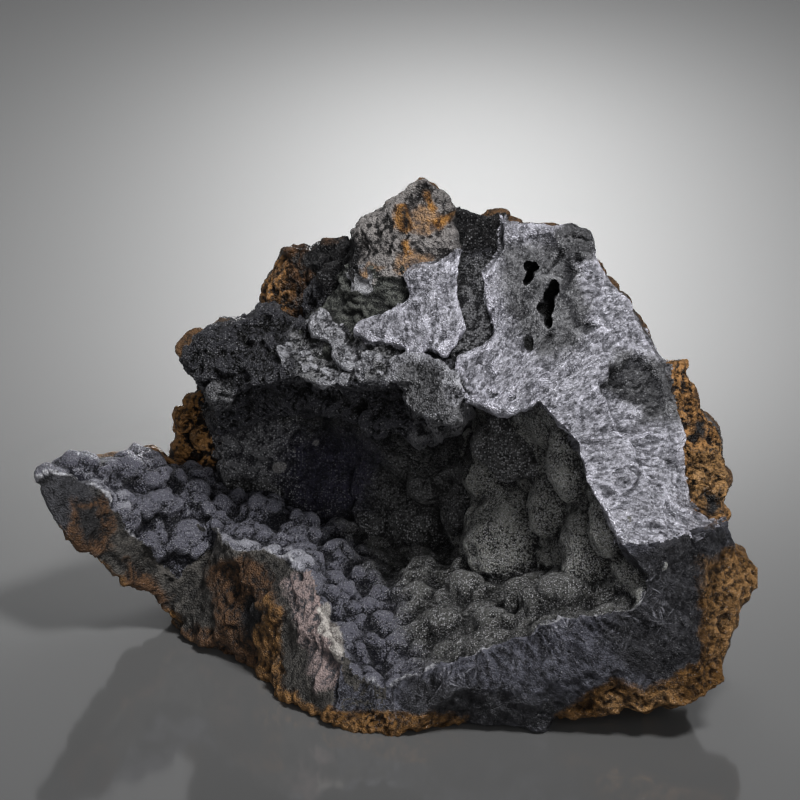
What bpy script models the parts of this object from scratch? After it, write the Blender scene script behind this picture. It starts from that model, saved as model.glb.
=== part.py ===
"""A goethite specimen: a broken lump of fibrous iron ore round an open hollow, with a botryoidal crust.

Lengths are in millimetres until MM turns them into metres. X runs across, Y back and Z up, and the
stone rests on Z = 0. Its corners are read from the front as (across, up, back): across and up are
measured square to a sight line that looks down by SIGHT_DEG, and back is how far behind the front
foot the corner lies.
"""

import math

import bmesh
import bpy
import numpy as np
from mathutils import Matrix, Vector, kdtree, noise
from mathutils.bvhtree import BVHTree
from mathutils.geometry import delaunay_2d_cdt

MM = 0.001
SIGHT_DEG = 22.0
CENTRE_X = -0.2  # across reading of the middle of the stone
CENTRE_Y = 40.3  # back reading of the middle of the stone
REACH = 200.0  # the whole stone lies well within this
REAR = 110.0  # every block runs back to here, before the rind is trimmed

SEED = 11
VOXEL = 1.0  # the fineness that the stone is worked at
CRUST_VOXEL = 0.7
CRUST_DEPTH = 3.4
CRUST_ROOT = 2.6  # how far the crust's body is sunk where there is no crust
CRUST_FOOT = 1.0  # no crust grows lower than this
GAP = 0.9
STONE_TRIANGLES = 5200
CRUST_TRIANGLES = 4800

# Broken faces of the upper mass: the outline of each, then points inside it.
UPPER_BLOCKS = {
    "brown_corner": ([
        (-27.6, 84, 72), (-27, 90, 74), (-25, 93.6, 74), (-23, 96, 74), (-18, 96.4, 73), (-15, 98, 72),
        (-11, 98, 70), (-8, 97, 66), (-4, 80, 60), (-20, 76, 66),
    ], [(-20, 90, 69)]),
    "backing": ([
        (-20, 64, 62), (-19, 88, 58), (-7, 98, 54), (4, 102, 51), (22, 99, 50), (30, 90, 48), (24, 66, 46),
        (0, 62, 52),
    ], []),
    "peak": ([
        (5, 110.6, 46), (2, 109, 47), (0, 106, 47), (-3, 103, 48), (-7, 101, 49), (-9, 98.4, 50),
        (-10, 92, 46), (-9, 87, 43), (4, 86, 36), (12, 88, 37), (11.4, 98, 42), (11, 104, 46), (8, 108, 46),
    ], [(2, 98, 41), (-4, 94, 43)]),
    "bright_plate": ([
        (-7, 82, 38), (-2, 84, 36), (2, 90, 37), (6, 93, 38), (13, 92, 38), (13, 80, 31), (12.6, 72, 26),
        (8, 69, 22), (0, 68, 23), (-6, 74, 29), (-12, 77, 32), (-11, 80, 34),
    ], [(5, 80, 29)]),
    "left_shoulder": ([
        (-9, 92, 48), (-4, 88, 44), (-2, 80, 42), (-12, 74, 36), (-20, 76, 42), (-20, 80, 46), (-14, 86, 48),
    ], []),
    "roof_ledge": ([
        (-22, 81, 48), (-16, 82, 44), (-10, 80, 38), (0, 76, 30), (10, 74, 27), (14, 67, 19), (12.4, 63, 20),
        (8, 58, 20), (6, 62, 23), (0, 68, 25), (-5, 70, 27), (-11, 68, 30), (-20, 71, 35), (-31, 69, 43),
        (-30, 80, 50),
    ], [(-16, 76, 40), (6, 68, 22)]),
    "roof_end": ([
        (-16, 81, 50), (-22, 82, 51), (-25.6, 84.4, 53), (-27.6, 84.6, 53), (-30, 82, 53), (-35, 81.6, 53),
        (-40, 79, 52), (-43.4, 76, 51), (-42.4, 72, 51), (-39, 67, 51), (-36, 63, 50), (-33, 67, 47),
        (-30, 68, 45), (-20, 70, 40), (-12, 70, 36),
    ], [(-32, 74, 47)]),
    "roof_underside": ([
        (-37, 66, 56), (-30, 70, 50), (-10, 70, 40), (10, 68, 28), (14, 64, 27), (12, 60, 29), (8, 58, 29),
        (3, 57.4, 31), (-1, 60, 34), (-5, 60, 35), (-11, 63, 40), (-20, 64.6, 48), (-30, 61, 56), (-37, 59, 60),
    ], []),
    "dark_strip": ([
        (10.6, 103.6, 49), (21, 102.6, 48.6), (23, 96, 46), (18, 88, 41), (20, 76, 34), (15, 70, 28),
        (10, 74, 31), (10.6, 90, 41),
    ], []),
    "bright_face": ([
        (20, 102.2, 44.6), (24, 101.6, 44), (32, 100.4, 43), (37.4, 98.4, 42), (38.4, 94.4, 40), (45.6, 86, 33),
        (51, 75, 27), (54, 72, 26), (54.6, 66, 21), (56, 58, 17), (55, 55, 15), (58, 46, 9), (61.4, 43, 7),
        (64, 42, 6), (60, 39.6, 2), (52, 38, -5), (43.4, 38, -4), (41, 44, -1), (38, 50, 4), (35, 57, 8),
        (32, 61, 10), (27.4, 65.4, 14), (25, 64.2, 15), (20, 63, 17), (17, 65, 18), (13.6, 67, 19),
        (14, 72, 25), (19.6, 76, 29), (17.4, 84, 35), (17.6, 91, 39), (21, 97, 42.6),
    ], [(30, 88, 34), (28, 74, 24), (40, 70, 19), (46, 54, 9), (38, 82, 29)]),
    "right_rind": ([
        (53, 74, 29), (57, 73.4, 31), (58, 68, 28), (59.6, 64, 26), (64.4, 59, 23), (65, 52, 19),
        (64.6, 46, 15), (65.6, 41, 11), (62, 40, 6), (56, 46, 9), (53, 56, 16), (53, 66, 22),
    ], [(59, 54, 18)]),
}

# Broken faces of the lower mass, from the tip of the tongue round to the right corner.
LOWER_BLOCKS = {
    "tongue_face": ([
        (-72, 50, 48), (-68, 51.6, 47), (-60.6, 49.6, 46), (-57.6, 43.2, 46), (-53.2, 38.6, 48),
        (-46.6, 30.8, 50), (-44, 27, 50), (-44, 20, 49), (-46.2, 23.6, 51), (-51.4, 28.8, 49),
        (-55.6, 29.6, 46), (-59.8, 32.6, 44), (-61.8, 35.6, 42), (-65.8, 37.8, 40), (-71, 44.8, 44),
    ], [(-63, 43, 42), (-56, 36, 46)]),
    "dent": ([
        (-53, 39, 50), (-38, 39, 54), (-34, 38, 50), (-36, 22, 44), (-41, 17, 42), (-44, 20, 48), (-46.6, 30, 50),
    ], []),
    "weathered_face": ([
        (-36.6, 39.8, 46), (-34, 36.4, 40), (-26, 35.6, 32), (-20, 33.6, 26), (-17, 30, 22), (-15.6, 24, 16),
        (-11, 15, 6), (-8, 10, 2), (-3, 8.8, -1), (0, -1, -3), (-6, -0.8, -2), (-14, 1.2, 0), (-18, 4.4, 8),
        (-23.4, 6.8, 14), (-27.6, 11, 26), (-32, 15, 34), (-40, 16.8, 40), (-44, 19, 47), (-43, 24, 47),
        (-39, 29, 46),
    ], [(-30, 28, 32), (-20, 20, 16)]),
    "front_wall": ([
        (-11, 15, 6), (-8, 10, 2), (-3, 8.8, -1), (8, 13.6, -2), (20, 18, -3), (32, 22.8, -5), (40, 23.6, -7),
        (48, 25.6, -8), (49, 31, -7), (43.4, 38, -4), (52, 38, -5), (64.4, 42, 6), (66, 38, 8),
        (68, 35, 10), (71.4, 31.6, 10), (70, 27, 6), (67, 24, 4), (65, 16, 0), (64.4, 10, -4), (58, 6, -8),
        (51, 5.4, -7), (48, 4.2, -6), (45, 5.2, -5), (39, 3.2, -4), (31, 2.8, -3), (29, 0.4, -2), (20, 1.4, 0),
        (10, 1.6, 0), (0, -1, -3), (-6, -0.8, -2), (-14, 1.2, 0),
    ], [(10, 8, -5), (26, 11, -6), (42, 14, -9), (54, 22, -7), (60, 30, -1)]),
}

# What the crust grows on: the tongue's top and the hollow's floor, back and right side.
LINING_BLOCKS = {
    "tongue_top": ([
        (-72, 50, 48), (-71.6, 52.4, 52), (-66, 53.6, 57), (-60, 55, 62), (-55, 55.6, 64), (-49, 56, 66),
        (-47, 54.4, 69), (-40, 52, 74), (-32, 47, 72), (-24, 46, 68), (-14, 40, 58), (-8, 34, 48),
        (-5, 26, 34), (0, 14, 10), (-3, 8.8, -1), (-8, 10, 2), (-11, 15, 6), (-15.6, 24, 16), (-17, 30, 22),
        (-20, 33.6, 26), (-26, 35.6, 32), (-34, 36.4, 40), (-36.4, 39.6, 46), (-38, 37, 51), (-44.6, 28, 50),
        (-46.6, 30.8, 50), (-53.2, 38.6, 48), (-57.6, 43.2, 46), (-60.6, 49.6, 46), (-68, 51.6, 47),
    ], [(-56, 52, 56), (-48, 48, 58), (-40, 46, 60), (-30, 43, 56), (-22, 40, 48), (-14, 33, 38), (-10, 24, 24)]),
    "floor": ([
        (-18, 40, 60), (-14, 34, 48), (-5, 22, 28), (0, 14, 10), (-3, 8.8, -1), (8, 13.6, -2), (20, 18, -3),
        (32, 22.8, -5), (40, 23.6, -7), (48, 25.6, -8), (44, 32, 8), (34, 35, 26), (22, 36, 42), (8, 38, 60),
        (-4, 40, 66),
    ], [(0, 28, 32), (10, 26, 22), (20, 24, 12), (10, 32, 40)]),
    "right_side": ([
        (48, 25.6, -8), (52, 33, -5), (46, 42, -2), (41, 48, 6), (37, 56, 12), (32, 62, 18), (26, 66, 24),
        (16, 66, 44), (12, 54, 58), (8, 42, 60), (12, 35, 50), (24, 32, 34), (36, 28, 14),
    ], [(24, 46, 40), (32, 44, 26), (40, 36, 10)]),
    "back_left": ([
        (-44, 50, 80), (-45, 56, 82), (-44, 62, 82), (-41, 66, 80), (-36, 70, 70), (-10, 74, 66), (-6, 56, 72),
        (-8, 36, 68), (-24, 34, 64), (-34, 44, 70),
    ], []),
    "back_right": ([
        (-12, 74, 66), (30, 74, 40), (30, 60, 40), (18, 44, 54), (14, 32, 58), (4, 30, 60), (-14, 30, 64),
        (-14, 50, 74),
    ], [(0, 50, 64)]),
}

# The rind at the back and underneath, as real places (x, y, z): the stone fills the convex hull of
# these and of its broken faces, and no more.
RIND_CORNERS = [
    (-42, 52, -3), (-24, 18, -3), (-8, -2, -3), (28, -3, -3), (42, 8, -3), (44, 32, -3), (30, 62, -3),
    (0, 72, -3), (-34, 72, -3),
    (-66, 64, 24), (-56, 72, 14), (66, 34, 24), (50, 58, 14),
    (-44, 84, 26), (-20, 86, 20), (10, 82, 20), (34, 72, 20),
    (-40, 86, 52), (-20, 86, 62), (8, 80, 64), (34, 70, 60), (54, 54, 50), (66, 34, 44),
    (-18, 80, 78), (0, 66, 92), (16, 62, 88), (34, 58, 84), (48, 50, 72),
]

# The hollow's roof is level behind its lip: the middle, as a real place, and the half sizes of the
# egg-shaped space there.
VAULT = ((4, 52, 40), (22, 18, 10))

# Pockets in the broken faces: the middle as it is read from the front, and the half sizes across,
# up and back.
POCKETS = [
    ((16.5, 99, 44), (5.5, 3.6, 5.0)), ((29.5, 87, 34), (2.6, 4.4, 6.0)), ((26.5, 92.6, 38), (1.7, 2.2, 5.0)),
    ((37.2, 82.6, 29), (1.6, 4.4, 3.0)), ((45.5, 73, 23), (6.0, 3.4, 3.0)), ((-3, 83.5, 44), (4.5, 5.0, 5.0)),
    ((19.5, 65.5, 19), (2.2, 2.6, 3.0)),
]

# Big rounded lobes of the crust: the middle as it is read from the front, across and up, and the
# half sizes across, up and back. Each sits in the face behind it.
LOBES = [
    ((-6.2, 41), (3.8, 4.6, 3.4)), ((2.8, 39), (6.4, 6.2, 4.6)), ((12, 44.2), (5.2, 6.8, 4.6)),
    ((15, 52), (5.8, 6, 3.6)), ((22.4, 36), (9.4, 9.6, 6.6)), ((27.5, 47), (7, 8.6, 5.4)),
    ((37.4, 34.6), (5.6, 9.6, 5.4)), ((34, 54), (3.8, 5, 3.6)), ((40, 27), (5.6, 4.6, 4.6)),
    ((6.6, 30.6), (6.2, 3.6, 5)), ((16, 27.4), (4.6, 3.6, 4)), ((22.6, 23.6), (4.6, 3.6, 4)),
    ((10.6, 21.6), (4.8, 3.8, 4)), ((31, 27), (5.4, 4, 4.4)),
]
LOBE_SUNK = 0.35  # the part of its half depth that a lobe's middle lies behind the face

# What a broken face shows. No crust grows on the outside, left of CRUST_LEFT and behind CRUST_BACK.
LUMPY, SMOOTH, FRACTURE, GRAINY, RIND = range(5)
CRUST_KINDS = (LUMPY, SMOOTH)
CRUST_LEFT = -41.0
CRUST_BACK = 70.0
KINDS = {
    "brown_corner": RIND, "backing": GRAINY, "peak": GRAINY, "bright_plate": FRACTURE,
    "left_shoulder": FRACTURE, "roof_ledge": GRAINY, "roof_end": GRAINY, "roof_underside": GRAINY,
    "dark_strip": GRAINY, "bright_face": FRACTURE, "right_rind": RIND, "tongue_face": RIND, "dent": RIND,
    "weathered_face": RIND, "front_wall": FRACTURE, "tongue_top": LUMPY, "floor": LUMPY,
    "right_side": SMOOTH, "back_left": SMOOTH, "back_right": SMOOTH,
}

# The relief on each kind of face: the spacing and smallest and largest radius of its lumps, and the
# height and width of its ridges and pits.
LUMPS = {LUMPY: (4.6, 2.8, 4.6), GRAINY: (4.0, 2.2, 3.4), RIND: (11.5, 4.4, 7.6)}
EASED = 2  # how many times the relief is averaged
SINK = 0.55  # the part of a lump's radius that lies below the face
VALLEY = {LUMPY: -1.0, GRAINY: -1.6, RIND: -2.2}  # where the face lies between the lumps
ROUGHNESS = {LUMPY: (0.5, 14.0), SMOOTH: (0.8, 16.0), FRACTURE: (0.9, 11.0), GRAINY: (0.9, 7.0), RIND: (1.7, 10.0)}
RIND_SWELL = (2.4, 26.0)  # height and width of the broad swellings of the unseen sides


def seen(across, up, back):
    """The place, in millimetres, of a corner that was read from the front."""
    sight = math.radians(SIGHT_DEG)
    height = (up - back * math.sin(sight)) / math.cos(sight)
    return Vector((across - CENTRE_X, back - CENTRE_Y, height))


def place(x, y, z):
    return Vector((x - CENTRE_X, y - CENTRE_Y, z))


def new_object(name, bm, collection, scale=MM):
    bmesh.ops.scale(bm, vec=(scale, scale, scale), verts=bm.verts[:])
    mesh = bpy.data.meshes.new(name)
    bm.to_mesh(mesh)
    bm.free()
    made = bpy.data.objects.new(name, mesh)
    collection.objects.link(made)
    return made


def add_block(bm, outline, inside):
    """Adds a block whose broken face runs through these corners, carried back along the sight line."""
    corners = outline + inside
    flat = [Vector((across, up)) for across, up, back in corners]
    verts, _, faces, origins, _, _ = delaunay_2d_cdt(flat, [], [list(range(len(outline)))], 1, 1e-4)
    depth = [corners[origin[0]][2] for origin in origins]
    near = [bm.verts.new(seen(at.x, at.y, back)) for at, back in zip(verts, depth)]
    far = [bm.verts.new(seen(at.x, at.y, REAR)) for at in verts]
    sides = {}
    for face in faces:
        bm.faces.new([near[i] for i in face])
        bm.faces.new([far[i] for i in reversed(face)])
        for a, b in zip(face, face[1:] + face[:1]):
            if sides.pop((b, a), None) is None:
                sides[(a, b)] = True
    for a, b in sides:
        bm.faces.new((near[b], near[a], far[a], far[b]))


def all_blocks():
    for blocks in (UPPER_BLOCKS, LOWER_BLOCKS, LINING_BLOCKS):
        yield from blocks.items()


def add_egg(bm, middle, half, tilt=0.0):
    made = bmesh.ops.create_icosphere(bm, subdivisions=3, radius=1.0)["verts"]
    bmesh.ops.scale(bm, vec=half, verts=made)
    bmesh.ops.rotate(bm, matrix=Matrix.Rotation(tilt, 3, "X"), verts=made)
    bmesh.ops.translate(bm, vec=middle, verts=made)


def add_egg_as_seen(bm, middle, half):
    across, up, back = half
    add_egg(bm, seen(*middle), (across, back, up), -math.radians(SIGHT_DEG))


def add_lobe(bm, faces, middle, half):
    """Adds a lobe that sits in the first of these faces that the eye meets at its middle."""
    eye = seen(*middle, -REAR)
    sight = seen(*middle, 0.0) - eye
    _, _, _, away = faces.ray_cast(eye, sight.normalized())
    face_back = away * math.cos(math.radians(SIGHT_DEG)) - REAR
    add_egg_as_seen(bm, (*middle, face_back + LOBE_SUNK * half[2]), half)


def build_blocks():
    bm = bmesh.new()
    for _, (outline, inside) in all_blocks():
        add_block(bm, outline, inside)
    bmesh.ops.recalc_face_normals(bm, faces=bm.faces[:])
    faces = BVHTree.FromBMesh(bm)
    for middle, half in LOBES:
        add_lobe(bm, faces, middle, half)
    return bm


def build_rind_hull():
    bm = bmesh.new()
    for _, (outline, inside) in all_blocks():
        for corner in outline + inside:
            bm.verts.new(seen(*corner))
    for corner in RIND_CORNERS:
        bm.verts.new(place(*corner))
    bmesh.ops.convex_hull(bm, input=bm.verts[:])
    bmesh.ops.delete(bm, geom=[vert for vert in bm.verts if not vert.link_faces], context="VERTS")
    return bm


def build_vault(middle, half):
    bm = bmesh.new()
    add_egg(bm, place(*middle), half)
    return bm


def build_pocket(middle, half):
    bm = bmesh.new()
    add_egg_as_seen(bm, middle, half)
    return bm


def cutter(name, bm, tools):
    made = new_object(name, bm, tools)
    made.hide_render = True
    made.display_type = "WIRE"
    return made


def add_remesh(made, fineness):
    step = made.modifiers.new("even", "REMESH")
    step.mode = "VOXEL"
    step.voxel_size = fineness * MM


def add_boolean(made, operation, other, solver="EXACT"):
    step = made.modifiers.new(other.name, "BOOLEAN")
    step.operation = operation
    step.solver = solver
    step.object = other


def evaluated(made):
    graph = bpy.context.evaluated_depsgraph_get()
    return bpy.data.meshes.new_from_object(made.evaluated_get(graph))


def apply_modifiers(made):
    mesh = evaluated(made)
    made.modifiers.clear()
    made.data = mesh


def kind_finder():
    """A search tree of all the faces that bound the stone, with the kind of each."""
    points = []
    polygons = []
    kinds = []

    def add(bm, kind):
        bm.verts.ensure_lookup_table()
        first = len(points)
        points.extend(vert.co.copy() for vert in bm.verts)
        polygons.extend([first + vert.index for vert in face.verts] for face in bm.faces)
        kinds.extend([kind] * len(bm.faces))
        bm.free()

    for name, (outline, inside) in all_blocks():
        bm = bmesh.new()
        add_block(bm, outline, inside)
        bm.verts.index_update()
        add(bm, KINDS[name])
    rind = build_rind_hull()
    rind.verts.index_update()
    add(rind, RIND)
    add(build_vault(*VAULT), SMOOTH)
    for middle, half in POCKETS:
        add(build_pocket(middle, half), GRAINY)
    return BVHTree.FromPolygons(points, polygons), kinds


def find_kinds(points):
    tree, kinds = kind_finder()
    found = np.array([kinds[tree.find_nearest(Vector(point))[2]] for point in points])
    outside = (points[:, 0] < CRUST_LEFT - CENTRE_X) & (points[:, 1] > CRUST_BACK - CENTRE_Y)
    found[np.isin(found, CRUST_KINDS) & outside] = RIND
    return found


def smoothed(values, edges, rounds):
    """Averages a value of each point with its neighbours', time after time."""
    counts = np.bincount(edges.ravel(), minlength=len(values)).astype(float)
    values = values.astype(float)
    for _ in range(rounds):
        total = np.zeros_like(values)
        np.add.at(total, edges[:, 0], values[edges[:, 1]])
        np.add.at(total, edges[:, 1], values[edges[:, 0]])
        shape = (-1,) + (1,) * (values.ndim - 1)
        values = 0.5 * values + 0.5 * total / counts.reshape(shape)
    return values


def scatter(points, spacing, random):
    """Chooses points no nearer to each other than spacing."""
    kept = []
    cells = {}
    for index in random.permutation(len(points)):
        point = points[index]
        x, y, z = (int(c) for c in np.floor(point / spacing))
        near = [
            other for i in (x - 1, x, x + 1) for j in (y - 1, y, y + 1) for k in (z - 1, z, z + 1)
            for other in cells.get((i, j, k), ())
        ]
        if all(np.sum((other - point) ** 2) > spacing ** 2 for other in near):
            cells.setdefault((x, y, z), []).append(point)
            kept.append(point)
    return kept


def lump_heights(points, kinds, kind, random):
    """How far rounded lumps that are scattered over one kind of face raise each point."""
    spacing, small, large = LUMPS[kind]
    chosen = np.nonzero(kinds == kind)[0]
    middles = scatter(points[chosen], spacing, random)
    radii = random.uniform(small, large, len(middles))
    tree = kdtree.KDTree(len(middles))
    for index, middle in enumerate(middles):
        tree.insert(middle, index)
    tree.balance()
    heights = np.zeros(len(points))
    heights[chosen] = VALLEY[kind]
    for index in chosen:
        for _, lump, away in tree.find_range(points[index], large):
            if away < radii[lump]:
                rise = math.sqrt(radii[lump] ** 2 - away ** 2) - SINK * radii[lump]
                heights[index] = max(heights[index], rise)
    return heights


def rough_heights(points, kinds):
    """The ridges and pits of each kind of face."""
    heights = np.zeros(len(points))
    for index, point in enumerate(points):
        tall, wide = ROUGHNESS[kinds[index]]
        heights[index] = tall * noise.fractal(Vector(point) / wide, 1.0, 2.0, 3)
    return heights


def swell_heights(points, hidden):
    tall, wide = RIND_SWELL
    return hidden * [tall * noise.noise(Vector(point) / wide) for point in points]


def mesh_arrays(mesh):
    points = np.empty(len(mesh.vertices) * 3)
    mesh.vertices.foreach_get("co", points)
    normals = np.empty(len(mesh.vertices) * 3)
    mesh.vertices.foreach_get("normal", normals)
    edges = np.empty(len(mesh.edges) * 2, dtype=np.int64)
    mesh.edges.foreach_get("vertices", edges)
    return points.reshape(-1, 3) / MM, normals.reshape(-1, 3), edges.reshape(-1, 2)


def moved_copy(mesh, points, name, collection):
    copy = mesh.copy()
    copy.vertices.foreach_set("co", (points * MM).ravel())
    copy.update()
    made = bpy.data.objects.new(name, copy)
    collection.objects.link(made)
    return made


def add_decimate(made, triangles):
    """Thins a mesh of four-sided faces to about this many triangles."""
    step = made.modifiers.new("thin", "DECIMATE")
    step.ratio = triangles / (2 * len(made.data.polygons))
    step.use_collapse_triangulate = True


def above(name, height, tools):
    """A cutter that holds everything above this height."""
    bm = bmesh.new()
    bmesh.ops.create_cube(bm, size=2 * REACH)
    bmesh.ops.translate(bm, vec=(0, 0, REACH + height), verts=bm.verts[:])
    return cutter(name, bm, tools)


def keep_largest_body(mesh):
    """Deletes the crumbs that a cut leaves."""
    bm = bmesh.new()
    bm.from_mesh(mesh)
    left = set(bm.verts)
    bodies = []
    while left:
        body = {left.pop()}
        front = list(body)
        while front:
            vert = front.pop()
            for edge in vert.link_edges:
                other = edge.other_vert(vert)
                if other not in body:
                    body.add(other)
                    front.append(other)
        left -= body
        bodies.append(body)
    bodies.sort(key=len)
    for body in bodies[:-1]:
        bmesh.ops.delete(bm, geom=list(body), context="VERTS")
    bm.to_mesh(mesh)
    bm.free()


def stand_at_origin(objects):
    """Moves the objects so that the middle of their common foot is the origin."""
    points = np.concatenate([mesh_arrays(made.data)[0] for made in objects])
    middle = (points.min(axis=0) + points.max(axis=0)) / 2
    for made in objects:
        made.data.transform(Matrix.Translation((-middle[0] * MM, -middle[1] * MM, 0)))


def material(name, colour, roughness, metallic):
    made = bpy.data.materials.new(name)
    made.use_nodes = True
    shader = made.node_tree.nodes["Principled BSDF"]
    shader.inputs["Base Color"].default_value = (*colour, 1.0)
    shader.inputs["Roughness"].default_value = roughness
    shader.inputs["Metallic"].default_value = metallic
    return made


def main():
    for old in list(bpy.data.objects):
        bpy.data.objects.remove(old)
    stone_parts = bpy.data.collections.new("goethite_specimen")
    bpy.context.scene.collection.children.link(stone_parts)
    tools = bpy.data.collections.new("cutters")
    bpy.context.scene.collection.children.link(tools)

    body = new_object("blocks", build_blocks(), tools)
    add_remesh(body, VOXEL)
    add_boolean(body, "INTERSECT", cutter("rind_hull", build_rind_hull(), tools))
    add_boolean(body, "DIFFERENCE", cutter("vault", build_vault(*VAULT), tools))
    for index, (middle, half) in enumerate(POCKETS):
        add_boolean(body, "DIFFERENCE", cutter(f"pocket_{index + 1}", build_pocket(middle, half), tools))
    add_remesh(body, VOXEL)
    mesh = evaluated(body)
    bpy.data.objects.remove(body)

    random = np.random.default_rng(SEED)
    points, normals, edges = mesh_arrays(mesh)
    kinds = find_kinds(points)
    soft_normals = smoothed(normals, edges, 6)
    soft_normals /= np.linalg.norm(soft_normals, axis=1)[:, None]
    lined = np.isin(kinds, CRUST_KINDS).astype(float)
    hidden = smoothed((kinds == RIND) & (points[:, 1] > 10), edges, 12)
    relief = rough_heights(points, kinds) + swell_heights(points, hidden)
    grains = lump_heights(points, kinds, GRAINY, random) + lump_heights(points, kinds, RIND, random)
    lumps = lump_heights(points, kinds, LUMPY, random)

    stone_rise = smoothed(relief + grains, edges, EASED) * (1 - lined) - CRUST_DEPTH * lined
    stone = moved_copy(mesh, points + soft_normals * stone_rise[:, None], "goethite_stone", stone_parts)
    add_decimate(stone, STONE_TRIANGLES)
    add_boolean(stone, "INTERSECT", above("ground", 0.0, tools), "MANIFOLD")
    apply_modifiers(stone)

    crust_rise = smoothed(relief + lumps, edges, EASED) * lined - CRUST_ROOT * (1 - lined)
    crust = moved_copy(mesh, points + soft_normals * crust_rise[:, None], "hollow_crust", stone_parts)
    add_boolean(crust, "INTERSECT", above("crust_foot", CRUST_FOOT, tools), "MANIFOLD")
    points, normals, _ = mesh_arrays(stone.data)
    swollen = moved_copy(stone.data, points + normals * GAP, "swollen_stone", tools)
    swollen.hide_render = True
    swollen.display_type = "WIRE"
    add_boolean(crust, "DIFFERENCE", swollen, "MANIFOLD")
    add_remesh(crust, CRUST_VOXEL)
    apply_modifiers(crust)
    keep_largest_body(crust.data)
    add_decimate(crust, CRUST_TRIANGLES)
    apply_modifiers(crust)
    stand_at_origin((stone, crust))

    stone.data.materials.clear()
    stone.data.materials.append(material("goethite", (0.16, 0.16, 0.17), 0.55, 0.3))
    crust.data.materials.clear()
    crust.data.materials.append(material("botryoidal_crust", (0.05, 0.05, 0.06), 0.4, 0.2))


main()
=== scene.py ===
import math
from typing import NamedTuple

import bmesh
import bpy
import numpy as np
from mathutils import Matrix, Vector, kdtree, noise
from mathutils.bvhtree import BVHTree
from mathutils.geometry import delaunay_2d_cdt


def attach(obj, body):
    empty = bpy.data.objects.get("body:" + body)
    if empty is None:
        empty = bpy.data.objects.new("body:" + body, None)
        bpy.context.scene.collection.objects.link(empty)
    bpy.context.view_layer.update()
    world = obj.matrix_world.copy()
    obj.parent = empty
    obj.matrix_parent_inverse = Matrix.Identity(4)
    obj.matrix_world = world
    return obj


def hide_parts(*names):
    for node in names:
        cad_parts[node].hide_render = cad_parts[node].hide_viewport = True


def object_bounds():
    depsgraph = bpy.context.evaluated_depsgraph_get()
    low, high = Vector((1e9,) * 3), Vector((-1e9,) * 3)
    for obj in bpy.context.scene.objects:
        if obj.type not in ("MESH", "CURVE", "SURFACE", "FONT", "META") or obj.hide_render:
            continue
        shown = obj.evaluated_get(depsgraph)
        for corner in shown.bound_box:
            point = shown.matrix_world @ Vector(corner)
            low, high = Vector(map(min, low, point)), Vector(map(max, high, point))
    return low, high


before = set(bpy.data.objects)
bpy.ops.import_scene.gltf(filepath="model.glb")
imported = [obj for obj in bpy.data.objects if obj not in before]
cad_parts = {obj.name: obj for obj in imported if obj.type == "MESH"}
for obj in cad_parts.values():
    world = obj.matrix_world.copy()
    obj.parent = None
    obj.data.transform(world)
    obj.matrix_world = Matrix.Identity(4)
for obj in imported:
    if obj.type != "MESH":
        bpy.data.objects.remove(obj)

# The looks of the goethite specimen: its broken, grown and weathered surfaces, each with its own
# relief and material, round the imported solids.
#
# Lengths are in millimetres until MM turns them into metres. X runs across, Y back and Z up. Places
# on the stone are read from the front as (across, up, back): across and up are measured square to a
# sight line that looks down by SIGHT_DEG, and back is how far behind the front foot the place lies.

cad_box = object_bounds()

MM = 0.001
SIGHT_DEG = 22.0
CENTRE_X = -1.075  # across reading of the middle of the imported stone
CENTRE_Y = 40.33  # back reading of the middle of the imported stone
REAR = 110.0  # every block runs back to here, before the rind is trimmed
SEED = 11
VOXEL = 0.42
INSIDE_ONLY = 1  # the kind of triangulation that fills an outline and nothing round it
CLOSE = 1e-4  # corners nearer than this count as one

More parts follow.
